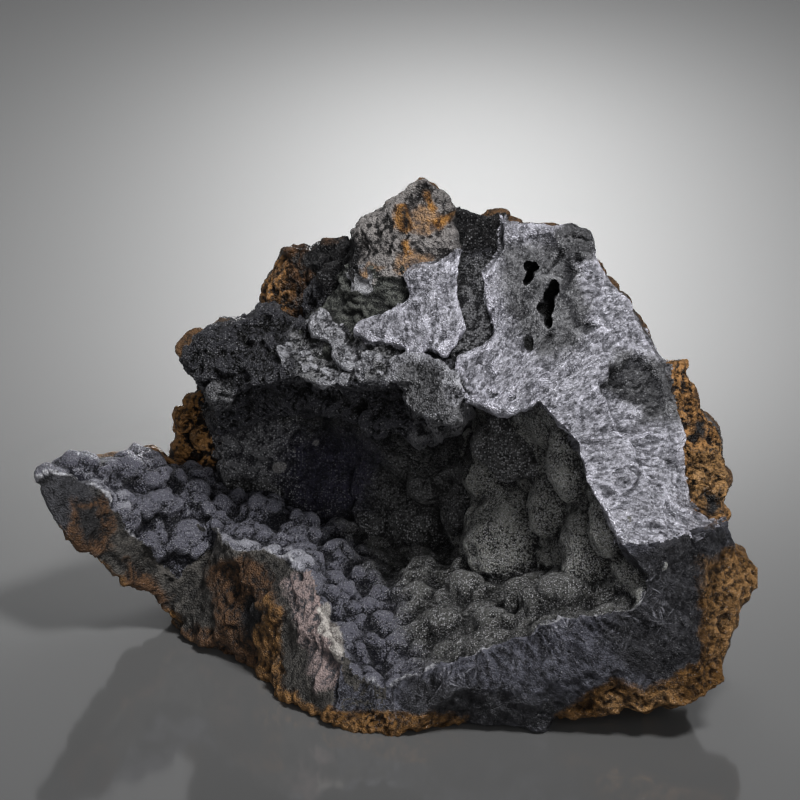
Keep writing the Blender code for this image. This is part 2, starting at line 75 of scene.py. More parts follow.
# Broken faces of the upper mass: the outline of each, then points inside it.
UPPER_BLOCKS = {
    "brown_corner": ([
        (-27.6, 84, 72), (-27, 90, 74), (-25, 93.6, 74), (-23, 96, 74), (-18, 96.4, 73), (-15, 98, 72),
        (-11, 98, 70), (-8, 97, 66), (-4, 80, 60), (-20, 76, 66),
    ], [(-20, 90, 69)]),
    "backing": ([
        (-20, 64, 62), (-19, 88, 58), (-7, 98, 54), (4, 102, 51), (22, 99, 50), (30, 90, 48), (24, 66, 46),
        (0, 62, 52),
    ], []),
    "peak": ([
        (5, 110.6, 46), (2, 109, 47), (0, 106, 47), (-3, 103, 48), (-7, 101, 49), (-9, 98.4, 50),
        (-10.6, 91.6, 46), (-9, 88.8, 43.6), (-5.4, 88.2, 41.6), (-3, 90.2, 41), (0, 91, 39.6), (4, 90, 38),
        (12, 88, 37), (11.4, 98, 42), (11, 104, 46), (8, 108, 46),
    ], [(2, 98, 41), (-4, 94, 43)]),
    "bright_plate": ([
        (0.1, 90, 36.4), (1.6, 92.4, 37), (7, 93, 37.6), (11.8, 96.6, 40), (11.8, 80.4, 30), (8.8, 75.4, 27),
        (5.8, 76.8, 28), (3.8, 75.6, 27.6), (1.6, 75, 27.4), (1, 76.8, 28.6), (-3.2, 78, 30),
        (-5.6, 76.8, 30), (-7.4, 78, 31), (-9.2, 79.6, 32.4), (-8.6, 81, 33), (-5.6, 82.2, 33),
        (-2, 84, 33.6), (1.9, 85.8, 34), (1.3, 87.6, 35),
    ], [(5, 82, 30)]),
    "left_shoulder": ([
        (-10, 93, 46.6), (-4, 92, 43), (1.6, 92.4, 39.6), (1.6, 86, 36.4), (-2, 84, 36), (-5.6, 82.2, 36.6),
        (-8.8, 81, 37.8), (-9.4, 79.4, 37.4), (-7.4, 77.6, 35.6), (-3, 77.4, 34), (0, 76, 31.4), (-2, 74, 31),
        (-12, 74, 36), (-20, 76, 42), (-20, 80, 46), (-14, 86, 48),
    ], []),
    "roof_ledge": ([
        (-22, 81, 48), (-16, 82, 44), (-10, 80, 38), (0, 76, 30), (10, 74, 27), (14, 67, 19), (12.4, 63, 20),
        (8, 58, 20), (6, 62, 23), (0, 68, 25), (-5, 70, 27), (-11, 68, 30), (-20, 71, 35), (-31, 69, 43),
        (-30, 80, 50),
    ], [(-16, 76, 40), (6, 68, 22)]),
    "roof_end": ([
        (-16, 81, 50), (-22, 82, 51), (-25.6, 84.4, 53), (-27.6, 84.6, 53), (-30, 82, 53), (-35, 81.6, 53),
        (-40, 79, 52), (-43.4, 76, 51), (-42.4, 72, 51), (-39, 67, 51), (-36, 63, 50), (-33, 67, 47),
        (-30, 68, 45), (-20, 70, 40), (-12, 70, 36),
    ], [(-32, 74, 47)]),
    "roof_underside": ([
        (-37, 66, 56), (-30, 70, 50), (-10, 70, 40), (10, 68, 28), (14, 64, 27), (12, 60, 29), (8, 58, 29),
        (3, 57.4, 31), (-1, 60, 34), (-5, 60, 35), (-11, 63, 40), (-20, 64.6, 48), (-30, 61, 56),
        (-37, 59, 60),
    ], []),
    "dark_strip": ([
        (10.6, 103.6, 48), (21, 102.6, 47.6), (23, 96, 44), (18, 88, 38.5), (20, 76, 31.5), (15, 70, 27),
        (10, 74, 29.5), (10.6, 90, 38.5),
    ], []),
    "bright_face": ([
        (20, 102.2, 44.6), (24, 101.6, 44), (32, 100.4, 43), (37.4, 98.4, 42), (38.4, 94.4, 40),
        (45.6, 86, 33), (51, 75, 27), (54, 72, 26), (54.6, 66, 21), (56, 58, 17), (55, 55, 15), (58, 46, 9),
        (61.4, 43, 7),
        (64, 42, 6), (60, 39.6, 2), (52, 38, -5), (43.4, 38, -4), (41, 44, -1), (38, 50, 4), (35, 57, 8),
        (32, 61, 10), (27.4, 65.4, 14), (25, 64.2, 15), (20, 63, 17), (17, 65, 18), (13, 66.6, 18.6),
        (11.4, 70, 22.6), (12, 74.4, 27), (17, 76, 29.6), (19.4, 78.6, 31), (17.4, 84, 35), (17.6, 91, 39),
        (21, 97, 42.6),
    ], [(30, 88, 34), (28, 74, 24), (40, 70, 19), (46, 54, 9), (38, 82, 29)]),
    "right_rind": ([
        (53, 74, 29), (57, 73.4, 31), (58, 68, 28), (59.6, 64, 26), (64.4, 59, 23), (65, 52, 19),
        (64.6, 46, 15), (65.6, 41, 11), (62, 40, 6), (56, 46, 9), (53, 56, 16), (53, 66, 22),
    ], [(59, 54, 18)]),
}

# Edges that a broken face of the lower mass shares with the crust on top of it: along the tongue, down
# the dip to its right, and along the front wall.
TONGUE_EDGE = [
    (-68, 51.6, 47), (-60.6, 49.6, 46), (-57.6, 43.2, 46), (-53.2, 38.6, 48), (-46.6, 30.8, 50),
]
DIP_EDGE = [
    (-34, 36.4, 40), (-26, 35.6, 32), (-20, 33.6, 26), (-17, 30, 22), (-15.6, 24, 16), (-11, 15, 6),
    (-8, 10, 2), (-3, 8.8, -1),
]
WALL_EDGE = [
    (-3, 8.8, -1), (8, 13.6, -2), (20, 18, -3), (32, 22.8, -5), (40, 23.6, -7), (48, 25.6, -8),
]

# Broken faces of the lower mass, from the tip of the tongue round to the right corner.
LOWER_BLOCKS = {
    "tongue_face": ([
        (-72, 50, 48), *TONGUE_EDGE, (-44, 27, 50), (-44, 20, 49), (-46.2, 23.6, 51), (-51.4, 28.8, 49),
        (-55.6, 29.6, 46), (-59.8, 32.6, 44), (-61.8, 35.6, 42), (-65.8, 37.8, 40), (-71, 44.8, 44),
    ], [(-63, 43, 42), (-56, 36, 46)]),
    "dent": ([
        (-53, 39, 50), (-38, 39, 54), (-34, 38, 50), (-36, 22, 44), (-41, 17, 42), (-44, 20, 48),
        (-46.6, 30, 50),
    ], []),
    "weathered_face": ([
        (-36.6, 39.8, 46), *DIP_EDGE, (0, -1, -3), (-6, -0.8, -2), (-14, 1.2, 0), (-18, 4.4, 8),
        (-23.4, 6.8, 14), (-27.6, 11, 26), (-32, 15, 34), (-40, 16.8, 40), (-44, 19, 47), (-43, 24, 47),
        (-39, 29, 46),
    ], [(-30, 28, 32), (-20, 20, 16)]),
    "front_wall": ([
        (-11, 15, 6), (-8, 10, 2), *WALL_EDGE, (49, 31, -7), (43.4, 38, -4), (52, 38, -5), (64.4, 42, 6),
        (66, 38, 8), (68, 35, 10), (71.4, 31.6, 10), (70, 27, 6), (67, 24, 4), (65, 16, 0), (64.4, 10, -4),
        (58, 6, -8), (51, 5.4, -7), (48, 4.2, -6), (45, 5.2, -5), (39, 3.2, -4), (31, 2.8, -3),
        (29, 0.4, -2), (20, 1.4, 0), (10, 1.6, 0), (0, -1, -3), (-6, -0.8, -2), (-14, 1.2, 0),
    ], [(10, 8, -5), (26, 11, -6), (42, 14, -9), (54, 22, -7), (60, 30, -1)]),
}

# Tilted plates along the roof's broken edge.
LEDGE_BLOCKS = {
    "ledge_1": ([
        (-24.4, 75.4, 41.4), (-22.6, 76.6, 41.8), (-20.6, 75.6, 41), (-18.8, 76.4, 40), (-17.4, 74.4, 38.2),
        (-16.8, 72.2, 36.4), (-19, 72.8, 36.6), (-21.2, 71.6, 37), (-23.4, 73.6, 39.4),
    ], []),
    "ledge_2": ([
        (-18.6, 73.2, 37.4), (-16.4, 73, 36.8), (-13, 72, 34.4), (-9.6, 71.4, 32), (-10.6, 68.8, 30),
        (-13, 69.6, 30.6), (-15.4, 68.4, 31.4), (-18.4, 71, 35),
    ], []),
    "ledge_3": ([
        (-13.4, 76.4, 36), (-12.4, 78.2, 37), (-9.6, 76.8, 35), (-7, 76.2, 33), (-7.6, 73.2, 31),
        (-10, 72.2, 31), (-12.8, 73.6, 33),
    ], []),
    "ledge_4": ([
        (-17.8, 82.4, 43.6), (-15.6, 84, 44), (-13.4, 81.8, 42.4), (-11.2, 80.4, 39.6), (-10.2, 77.6, 37),
        (-13, 77, 37), (-15, 78.2, 38.4), (-17.4, 79, 40),
    ], []),
    "ledge_5": ([
        (-0.6, 70.4, 26.4), (2, 72.2, 26), (5, 74.4, 25.4), (8.4, 73.6, 23.6), (11.6, 70.8, 20.6),
        (12.6, 66.4, 18.6), (11.4, 63.4, 18), (8, 61.4, 18), (4.6, 63, 20), (1.4, 66, 23.4),
    ], [(6.6, 68.4, 21.4)]),
    "ledge_6": ([
        (-8.6, 72.4, 30), (-6.6, 75, 31), (-2, 74.2, 28.6), (1, 75, 28), (5.6, 74.8, 26), (6.4, 72, 23.6),
        (2, 69.6, 23.6), (-3, 69.8, 26.6), (-7, 69.6, 28.4),
    ], [(-1, 72.6, 26)]),
}

# What the crust grows on: the tongue's top and the hollow's floor, back and right side.
LINING_BLOCKS = {
    "tongue_top": ([
        (-72, 50, 48), (-71.6, 52.4, 52), (-66, 53.6, 57), (-60, 55, 62), (-55, 55.6, 64), (-49, 56, 66),
        (-47, 54.4, 69), (-40, 52, 74), (-32, 47, 72), (-24, 46, 68), (-14, 40, 58), (-8, 34, 48),
        (-5, 26, 34), (0, 14, 10), *DIP_EDGE[::-1], (-36.4, 39.6, 46), (-38, 37, 51), (-44.6, 28, 50),
        *TONGUE_EDGE[::-1],
    ], [
        (-56, 52, 56), (-48, 48, 58), (-40, 46, 60), (-30, 43, 56), (-22, 40, 48), (-14, 33, 38),
        (-10, 24, 24),
    ]),
    "floor": ([
        (-18, 40, 60), (-14, 34, 48), (-5, 22, 28), (0, 14, 10), *WALL_EDGE, (44, 32, 8), (34, 35, 26),
        (22, 36, 42), (8, 38, 60), (-4, 40, 66),
    ], [(0, 28, 32), (10, 26, 22), (20, 24, 12), (10, 32, 40)]),
    "right_side": ([
        (48, 25.6, -8), (52, 33, -5), (46, 42, -2), (41, 48, 6), (37, 56, 12), (32, 62, 18), (26, 66, 24),
        (16, 66, 44), (12, 54, 58), (8, 42, 60), (12, 35, 50), (24, 32, 34), (36, 28, 14),
    ], [(24, 46, 40), (32, 44, 26), (40, 36, 10)]),
    "back_left": ([
        (-44, 50, 80), (-45, 56, 82), (-44, 62, 82), (-41, 66, 80), (-36, 70, 70), (-10, 74, 66),
        (-6, 56, 72), (-8, 36, 68), (-24, 34, 64), (-34, 44, 70),
    ], []),
    "back_right": ([
        (-12, 74, 66), (30, 74, 40), (30, 60, 40), (18, 44, 54), (14, 32, 58), (4, 30, 60), (-14, 30, 64),
        (-14, 50, 74),
    ], [(0, 50, 64)]),
}

# The rind at the back and underneath, as real places (x, y, z): the stone fills the convex hull of
# these and of its broken faces, and no more.
RIND_CORNERS = [
    (-42, 52, -3), (-24, 18, -3), (-8, -2, -3), (28, -3, -3), (42, 8, -3), (44, 32, -3), (30, 62, -3),
    (0, 72, -3), (-34, 72, -3),
    (-66, 64, 24), (-56, 72, 14), (66, 34, 24), (50, 58, 14),
    (-44, 84, 26), (-20, 86, 20), (10, 82, 20), (34, 72, 20),
    (-40, 86, 52), (-20, 86, 62), (8, 80, 64), (34, 70, 60), (54, 54, 50), (66, 34, 44),
    (-18, 80, 78), (0, 66, 92), (16, 62, 88), (34, 58, 84), (48, 50, 72),
]

# The hollow's roof is level behind its lip: the middle, as a real place, and the half sizes of the
# egg-shaped space there.
VAULT = ((-1, 52, 40), (17, 18, 10))

# Slots in the bright face, as read from the front: the outline of each, how far back the face is
# there and how deep the slot goes.
SLOTS = [
    ([(25.6, 93.8), (26.6, 93.2), (28.1, 94.2), (27.7, 92.4), (26.6, 91.6), (26.2, 90.2), (24.9, 88.9),
      (24.2, 89.4), (24.8, 90.6), (25.7, 91.6), (25.1, 92.8)], 38.0, 6.0),
    ([(31.9, 90), (31.4, 87.6), (30.5, 86.2), (30.7, 84.6), (30.1, 83), (30.9, 81.2), (29.9, 79.4),
      (29.6, 80.8), (28.6, 80.9), (29, 82.6), (28, 83.6), (26.9, 84.8), (28.6, 85.4), (28.9, 87.6),
      (30.2, 89.2)], 34.0, 6.0),
    ([(24.3, 78.8), (25.4, 79.4), (26.3, 78.2), (25.8, 76.3), (24.7, 76.9)], 27.0, 2.2),
]

# Steps in the bright face, as read from the front: the outline of each, the way in which the surface
# comes up again from its deep edge, the depth there and the length of the slope.
STEPS = [
    ([(40, 68), (42, 70.6), (42.6, 73), (45, 74.6), (47, 76), (49.4, 74.4), (52.4, 70.6), (53, 66), (54, 58),
      (49, 55), (44, 60)], (0.5, -0.87), 3.2, 18.0),
    ([(32.6, 96), (34.6, 91.6), (33, 87), (36, 82), (39.6, 80.2), (37, 79), (33.6, 82), (31, 88), (30.4, 95)],
     (-0.95, -0.3), 2.0, 6.0),
    ([(20.4, 97.6), (24, 98.6), (30, 99.4), (33, 95.6), (29.6, 91.6), (25, 91), (21.4, 93)],
     (-0.8, -0.6), 1.5, 9.0),
    ([(36, 66), (38, 69), (40.4, 66), (39, 59), (36.6, 60)], (0.6, -0.8), 1.2, 7.0),
    ([(46, 58), (50, 59.4), (54, 58), (55, 50), (49, 49)], (0.3, -0.95), 1.2, 8.0),
]
STEP_EDGE = 0.7  # how wide the edge of a step is

# Big rounded lobes of the crust: the middle as it is read from the front, across and up, and the
# half sizes across, up and back. Each sits in the face behind it.
LOBES = [
    ((23.6, 37.4), (11.4, 12.6, 11.0)), ((38.4, 35), (6.8, 10.4, 8.6)), ((34.2, 52.6), (5.0, 7.2, 6.0)),
    ((18.4, 53), (7.2, 8.0, 6.0)), ((31, 45), (6.0, 7.0, 6.0)),
    ((41.6, 41), (4.0, 6.6, 5.0)), ((33, 57.6), (3.2, 3.8, 3.6)),
]
BULGES = [
    ((-5.6, 41.5), (4.6, 4.8, 3.6)), ((4.2, 40), (7.0, 6.0, 5.6)), ((12, 44), (4.6, 6.4, 5.0)),
    ((-3, 50), (6.6, 6.4, 3.0)), ((7, 51), (6.4, 6.4, 3.0)), ((12, 57), (6.0, 5.6, 3.0)),
    ((24, 57), (9.4, 7.4, 5.0)), ((-12, 47), (5.0, 5.4, 2.6)),
]
MOUNDS = [
    ((5, 31), (7.2, 4.0, 5.4)), ((15.6, 27.4), (5.4, 4.4, 4.6)), ((25.4, 26.6), (5.4, 4.6, 5.0)),
    ((9.7, 21.6), (5.8, 3.8, 4.4)), ((3.4, 24.8), (4.4, 3.4, 3.8)), ((19.4, 21.6), (4.6, 3.2, 3.8)),
    ((32, 26.6), (7.6, 4.6, 5.6)), ((12.6, 32.6), (4, 2.6, 3.6)),
    ((-12, 27.6), (3.6, 3.6, 3.6)), ((-12.4, 34.4), (4.4, 3.4, 4)), ((-7, 31.4), (4.4, 3.4, 4)),
    ((5.6, 19.8), (3.6, 2.8, 3.6)), ((-6, 22.4), (4.6, 3.6, 4)), ((-9, 17), (3.6, 3.4, 3.6)),
    ((-3, 16), (4, 3, 3.6)),
    ((2, 19), (3.6, 2.8, 3.4)), ((-20, 39.6), (5.4, 3.6, 4.6)), ((-27, 42.6), (5.4, 3.6, 4.6)),
    ((-34, 44), (5.4, 3.4, 4.6)), ((-13, 39), (4.4, 3.2, 4)), ((-44, 49), (6.4, 4.4, 5.4)),
    ((-52, 51.6), (6.4, 3.6, 5.4)), ((-62, 52), (5.4, 2.6, 4.6)), ((-50, 43), (5.4, 4.4, 4.6)),
]
# Small knobs that hang from the roof's lip, brown balls behind the hollow's left end, and pale beads
# on its lining, given like the lobes.
HANGING = [
    ((-12.4, 65.2), (2.4, 2.0, 2.6)), ((-9.4, 63.6), (2.6, 2.4, 2.6)), ((-6.2, 61.8), (2.2, 2.6, 2.4)),
    ((-3.6, 60.6), (1.8, 2.2, 2.0)), ((-1.0, 62.4), (2.2, 2.4, 2.2)), ((-17, 66.6), (2.0, 1.6, 2.0)),
    ((-36.4, 67.6), (3.0, 2.6, 2.6)), ((4.0, 62.6), (2.6, 2.0, 2.4)), ((9.6, 62.6), (2.6, 2.2, 2.4)),
]
BALLS = [
    ((-41.6, 62.6), (4.0, 3.4, 4.0)), ((-42.6, 56.4), (3.2, 2.8, 3.2)), ((-38.6, 58.6), (3.4, 3.4, 3.4)),
    ((-40.6, 66.0), (3.0, 2.6, 3.0)), ((-38.6, 53.0), (3.0, 2.6, 3.0)), ((-43.6, 54.4), (3.0, 2.4, 3.0)),
]
BEADS = [
    ((-24.8, 53.4), (1.3, 0.9, 1.2)), ((-21.1, 56), (0.3, 0.3, 0.6)), ((-23.8, 65.4), (0.3, 0.5, 0.6)),
    ((-20.6, 66.4), (0.3, 0.4, 0.6)), ((-16.8, 57.6), (0.4, 0.8, 0.8)),
]
GROWN = {"lobe": LOBES, "bulge": BULGES, "mound": MOUNDS, "hanging": HANGING, "ball": BALLS, "bead": BEADS}
LOBE_SUNK = 0.35  # the part of its half depth that a lobe's middle lies behind the face

# The record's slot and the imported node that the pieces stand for, and the pieces, each with the blocks,
# growths and cuts whose faces it shows.
NODES = {
    ("goethite", "goethite_stone"): {
        "bright_fracture": ("bright_face", "bright_plate"),
        "ledge_fracture": tuple(LEDGE_BLOCKS),
        "ribbed_recess": ("left_shoulder",),
        "peak_fracture": ("peak",),
        "dark_granular": (
            "backing", "roof_ledge", "roof_end", "roof_underside", "dark_strip", "hanging"),
        "slot_walls": ("slot",),
        "front_wall": ("front_wall",),
        "broken_edge": ("tongue_face", "dent", "weathered_face"),
        "limonite_rind": ("brown_corner", "right_rind", "ball"),
        "rear_rind": (),  # all that is far from any of these faces
        "under_rind": (),  # the low part of the rear rind
    },
    ("botryoidal_crust", "hollow_crust"): {
        "botryoidal_crust": ("tongue_top", "floor", "mound"),
        "druse_lobes": ("lobe", "right_side"),
        "hollow_lining": ("back_left", "back_right", "vault", "bulge"),
    },
}
PIECES = {name: (*node, faces) for node, pieces in NODES.items() for name, faces in pieces.items()}
ORDER = list(PIECES)
CRUST = [ORDER.index(name) for name, (_, node, _) in PIECES.items() if node == "hollow_crust"]
EDGE_WANDER = (0.8, 3.0)  # how far the edges between pieces stray, and over what length
HULL_LEAD = 1.0  # the rear rind starts where the hull is this much nearer than any other face
HULL_NEAR = 2.5  # or where the hull is this near
FRONT_REACH = 3.0  # and every broken face is this far
UNDER_TOP = 30.0  # the rear rind below this height is the rind underneath
REAR_START = 1.5  # the rear rind's lumps start to grow this far from the broken faces
REAR_RISE = 9.0  # have their full height this much further on
REAR_LEAST = 0.12  # and are never lower than this part of it
REAR_EDGE = 4.5  # the rear rind is grey about this far from the broken faces
CRUST_LEFT = -41.0  # no crust grows on the outside, left of here
CRUST_BACK = 70.0  # and behind here
BEAD_REACH = 0.35  # the paleness of a bead ends this far from it

# Stains, patches, painted shade and painted light as they are read from the front, as outlines of (across,
# up).
PATCHES = {
    "amber": [
        [(4.8, 107.6), (6.2, 107.4), (7.4, 104.4), (6.6, 103.4), (5.6, 105)],
        [(-0.8, 105), (1.4, 104.6), (2.2, 101), (1.2, 99.4), (-0.4, 100)],
        [(5, 101.6), (12.2, 103.8), (12.4, 102.8), (8, 100.8)],
        [(0.6, 97.6), (2.2, 98), (2.4, 95.6), (1, 95.4)],
    ],
    "ochre": [
        [(31, 3.2), (38, 8), (42.4, 10.8), (48, 8), (53, 10), (60, 15), (59.8, 26), (62.4, 32), (65.4, 37),
         (76, 42), (76, 0), (31, -3)],
        [(-74, 42), (-68, 41), (-64.4, 36), (-58, 31), (-50, 27), (-45, 23), (-43, 16), (-50, 12), (-74, 30)],
        [(-24, 9), (-13, 3.6), (-8, 4.4), (0, 3.4), (13, 3.0), (13, -4), (-14, -4), (-52, 14), (-46, 19),
         (-38, 14)],
        [(-29, 22), (-25.6, 28), (-23.6, 24), (-24, 12), (-22, 6), (-30, 9)],
    ],
    "blush": [
        [(-0.6, 95), (2.4, 96.6), (5.8, 94.6), (5, 92.6), (-1, 91.8)],
        [(-10.4, 90.8), (-6, 93), (-2.6, 92), (-5, 91), (-8, 90.4)],
        [(2, 103), (5, 105), (9, 102), (6, 99), (2, 99.6)],
    ],
    "umber": [
        [(-66, 46), (-60, 47), (-57, 42), (-58, 36), (-62, 34), (-66.6, 38)],
        [(-38, 33), (-31, 35), (-25, 31), (-23.6, 24), (-25, 14), (-22, 7), (-48, 10), (-47, 20), (-37, 20)],
        [(-56, 34), (-51, 31), (-46, 27), (-46, 22), (-56, 28)],
        [(-24, 100), (-12, 100), (-10, 78), (-22, 78)],
    ],
    "dark": [
        [(0, 103.8), (1.4, 103.4), (1.6, 100.4), (0.4, 100)],
        [(-65.4, 45.4), (-60.8, 44.6), (-60, 38.6), (-63.4, 37.4)],
        [(-32, 26), (-27.6, 26.6), (-26, 22), (-30.6, 18)],
        [(-20, 93), (-17.6, 97.6), (-8, 99), (-8, 84), (-15, 81), (-14, 88)],
        [(58, 62), (60.6, 61.6), (60, 58), (58.6, 58)],
        [(61, 48), (63.6, 48), (63.6, 44.6), (61.6, 44)],
        [(10.6, 104), (21.6, 104), (22.4, 99.6), (20, 97), (15, 95.6), (11, 97)],
    ],
    # Dark pitted grains at the bright face's top, and a painted shadow along the crevice at the upper edge of
    # its lower step.
    "dark_grains_and_crevice_shade": [
        [(30.6, 99.6), (35, 100.8), (38, 98), (38, 93.4), (34.4, 93.6), (31.6, 96)],
        [(39.8, 68.4), (41.6, 71), (42.2, 73.4), (45, 75.4), (46.4, 75.8), (45.6, 74.2), (43.4, 72.6),
         (42.6, 70.4), (41, 67.8)],
    ],
    "pale": [
        [(-17, 25), (-14.6, 26), (-12.4, 22.4), (-11.2, 18), (-11, 13.6), (-12.6, 14.4), (-14, 18.4),
         (-16, 20.6)],
    ],
    "pink": [
        [(-23, 29), (-17.6, 32), (-15, 24), (-12, 14), (-10, 8), (-16, 8), (-20, 17)],
    ],
    "olive": [
        [(-14, 43), (-1, 28), (1, 18), (6, 12), (52, 12), (52, 60), (-10, 60)],
    ],
    "shade": [
        [(41, 69), (43.4, 73), (46.4, 75.4), (50, 74.6), (55, 70), (56, 64.6), (50, 65.6), (45, 66.4)],
        [(33, 95), (35, 91.6), (33.4, 87), (36, 82.6), (38.6, 80.4), (36.8, 79.6), (33.8, 82.4), (31.6, 88)],
    ],
    # Painted shade on the tongue's left end and on the front wall's right and lower parts.
    "painted_shade": [
        [(-74, 54), (-62, 51), (-59, 44), (-61, 36), (-68, 38), (-74, 44)],
        [(44, 34), (52, 40), (64, 42), (68, 34), (67, 20), (58, 8), (46, 12), (40, 18)],
        [(2, 12), (20, 8), (34, 6), (34, 0), (0, 0)],
    ],
    "lip": [
        [(-22, 79), (-2, 78), (1, 71), (-20, 69)],
    ],
    "dusty": [
        [(10, 95), (20, 94), (20, 75), (10, 75)], [(-1, 73), (8, 73), (10, 64), (2, 62)],
        [(-39, 69), (-34, 69), (-34, 65), (-39, 65)], [(12, 66), (16, 66), (16, 60), (2, 57), (2, 60)],
    ],
    "blue": [
        [(-24, 59), (-12, 60), (-4, 56), (-6, 46), (-14, 40), (-24, 42)],
    ],
    "tan": [
        [(57, 56), (66, 58), (66, 46), (62, 42), (59, 46)], [(60, 34), (72, 34), (70, 18), (62, 14)],
        [(40, 8), (56, 8), (56, 0), (40, 0)], [(-47, 19), (-36, 14), (-37, 8), (-48, 12)],
    ],
    # Grainy left back wall of the hollow, given a lighter colour where light falls on it: painted light.
    "grains_and_painted_light": [
        [(-40, 64), (-24, 63), (-18, 58), (-20, 50), (-40, 50)],
    ],
    "silver": [
        [(-11, 92), (-6, 93.6), (-4.4, 91), (-5.6, 88.4), (-8, 87), (-10.4, 88.6)],
    ],
    # Darker upper part of the bright face, and painted shade in the recess of its lower step.
    "darker_top_and_recess_shade": [
        [(20, 98), (34, 98), (38, 84), (36, 76), (28, 74), (22, 80), (20, 88)],
        [(42, 76), (54, 74), (58, 60), (50, 62), (44, 68)],
    ],
}
PATCH_SOFT = {
    "ochre": 2.6, "amber": 1.6, "blush": 2.6, "umber": 4.0, "dark": 3.0, "dark_grains_and_crevice_shade": 2.0, "pale": 1.2,
    "pink": 4.0, "blue": 14.0, "olive": 14.0, "dusty": 4.0, "lip": 4.0, "tan": 6.0, "grains_and_painted_light": 6.0,
    "painted_shade": 9.0, "shade": 2.4, "silver": 0.6, "darker_top_and_recess_shade": 8.0,
}  # how wide each one's edge is
PATCH_WANDER = (1.2, 3.0)  # how far the edge of a patch strays, and over what length

# Pale sparkling edges, as lines read from the front, and half their width.
RIMS = [
    [(-69, 51.4), (-64, 51), (-60, 50), (-57, 48), (-55.6, 45), (-54.6, 41)],
    [(-37, 40), (-34, 37), (-30, 36.6), (-26, 36), (-22, 34.6), (-18.6, 32)],
    [(-3, 8.6), (6, 13), (20, 18), (29, 22), (40, 23.6), (48, 25.4)],
]
RIM_ROUNDS = 8  # how often the edge is smoothed, which sets its width
NEAR_RIM = 8.0  # the needles show this far from the front rim
# Where the tongue's edges sparkle more widely, and how far from these lines the sparkle fades out.
FROST = [
    [(-64, 51.4), (-60.4, 50.4), (-57.4, 47.8), (-56, 44.4)],
    [(-34.6, 38.4), (-30, 37.4), (-25, 36.4), (-19.4, 33)],
]
FROST_WIDE = 1.9
# The crust sparkles less in the shade of the hollow. As read from the front, its sparkle grows to the
# right of SPARK_RIGHT and below SPARK_LOW, each over a length, and is full left of SPARK_LEFT.
SPARK_RIGHT = (4, 14)
SPARK_LOW = (48, -8)
SPARK_LEFT = -20
SPARK_LEAST = 0.3
FIBRE_CENTRE = (8.0, 46.0)  # the fibres run outwards from here, as read from the front
FIBRE_TURN = 40.0  # how long, to the noise, one radian round there is
WANDER = ((0.8, 7.0), (0.35, 2.4))  # how far the whole surface strays, and over what length
SHAPE_ROUNDS = 8  # how often the normals are smoothed before the relief is raised along them
# Crests and swellings stand out from a smoothed surface: how often it is smoothed for each, and how high over
# it a full one stands. The materials darken the dips between them with painted shade.
CREST = (5, 0.2)
SWELL = (60, 1.0)


def seen(across, up, back):
    """The place, in millimetres, of a corner that was read from the front."""
    sight = math.radians(SIGHT_DEG)
    height = (up - back * math.sin(sight)) / math.cos(sight)
    return Vector((across - CENTRE_X, back - CENTRE_Y, height))


def readings(points):
    """Across and up, as read from the front, of these places."""
    sight = math.radians(SIGHT_DEG)
    back = points[:, 1] + CENTRE_Y
    return points[:, 0] + CENTRE_X, points[:, 2] * math.cos(sight) + back * math.sin(sight)


def add_object(name, data):
    made = bpy.data.objects.new(name, data)
    bpy.context.scene.collection.objects.link(made)
    return made


def new_object(name, bm):
    bmesh.ops.scale(bm, vec=(MM, MM, MM), verts=bm.verts[:])
    mesh = bpy.data.meshes.new(name)
    bm.to_mesh(mesh)
    bm.free()
    return add_object(name, mesh)


def search_tree(bm):
    """A search tree of this shape's faces."""
    tree = BVHTree.FromBMesh(bm)
    bm.free()
    return tree


def add_front(bm, outline, inside):
    """Adds the broken face through these corners. Gives its corners, their readings and its faces."""
    corners = outline + inside
    flat = [Vector((across, up)) for across, up, back in corners]
    ring = list(range(len(outline)))
    verts, _, faces, origins, _, _ = delaunay_2d_cdt(flat, [], [ring], INSIDE_ONLY, CLOSE)
    depth = [corners[origin[0]][2] for origin in origins]
    near = [bm.verts.new(seen(at.x, at.y, back)) for at, back in zip(verts, depth)]
    for face in faces:
        bm.faces.new([near[i] for i in face])
    return near, verts, faces


def add_block(bm, outline, inside, rear=REAR):
    """Adds a block with this broken face, carried back along the sight line."""
    near, verts, faces = add_front(bm, outline, inside)
    far = [bm.verts.new(seen(at.x, at.y, rear)) for at in verts]
    sides = {}  # the edges that one face alone has
    for face in faces:
        bm.faces.new([far[i] for i in reversed(face)])
        for a, b in zip(face, face[1:] + face[:1]):
            if sides.pop((b, a), None) is None:
                sides[(a, b)] = True
    for a, b in sides:
        bm.faces.new((near[b], near[a], far[a], far[b]))


def all_blocks():
    for blocks in (UPPER_BLOCKS, LOWER_BLOCKS, LEDGE_BLOCKS, LINING_BLOCKS):
        yield from blocks.items()


def add_egg(bm, middle, half, tilt=0.0):
    made = bmesh.ops.create_icosphere(bm, subdivisions=3, radius=1.0)["verts"]
    bmesh.ops.scale(bm, vec=half, verts=made)
    bmesh.ops.rotate(bm, matrix=Matrix.Rotation(tilt, 3, "X"), verts=made)
    bmesh.ops.translate(bm, vec=middle, verts=made)


def add_grown(bm, faces, eggs):
    """Adds egg-shaped growths, each in the first of these faces that the eye meets at its middle."""
    for middle, (across, up, back) in eggs:
        eye = seen(*middle, -REAR)
        sight = seen(*middle, 0.0) - eye
        _, _, _, away = faces.ray_cast(eye, sight.normalized())
        face_back = away * math.cos(math.radians(SIGHT_DEG)) - REAR
        place = seen(*middle, face_back + LOBE_SUNK * back)
        add_egg(bm, place, (across, back, up), -math.radians(SIGHT_DEG))


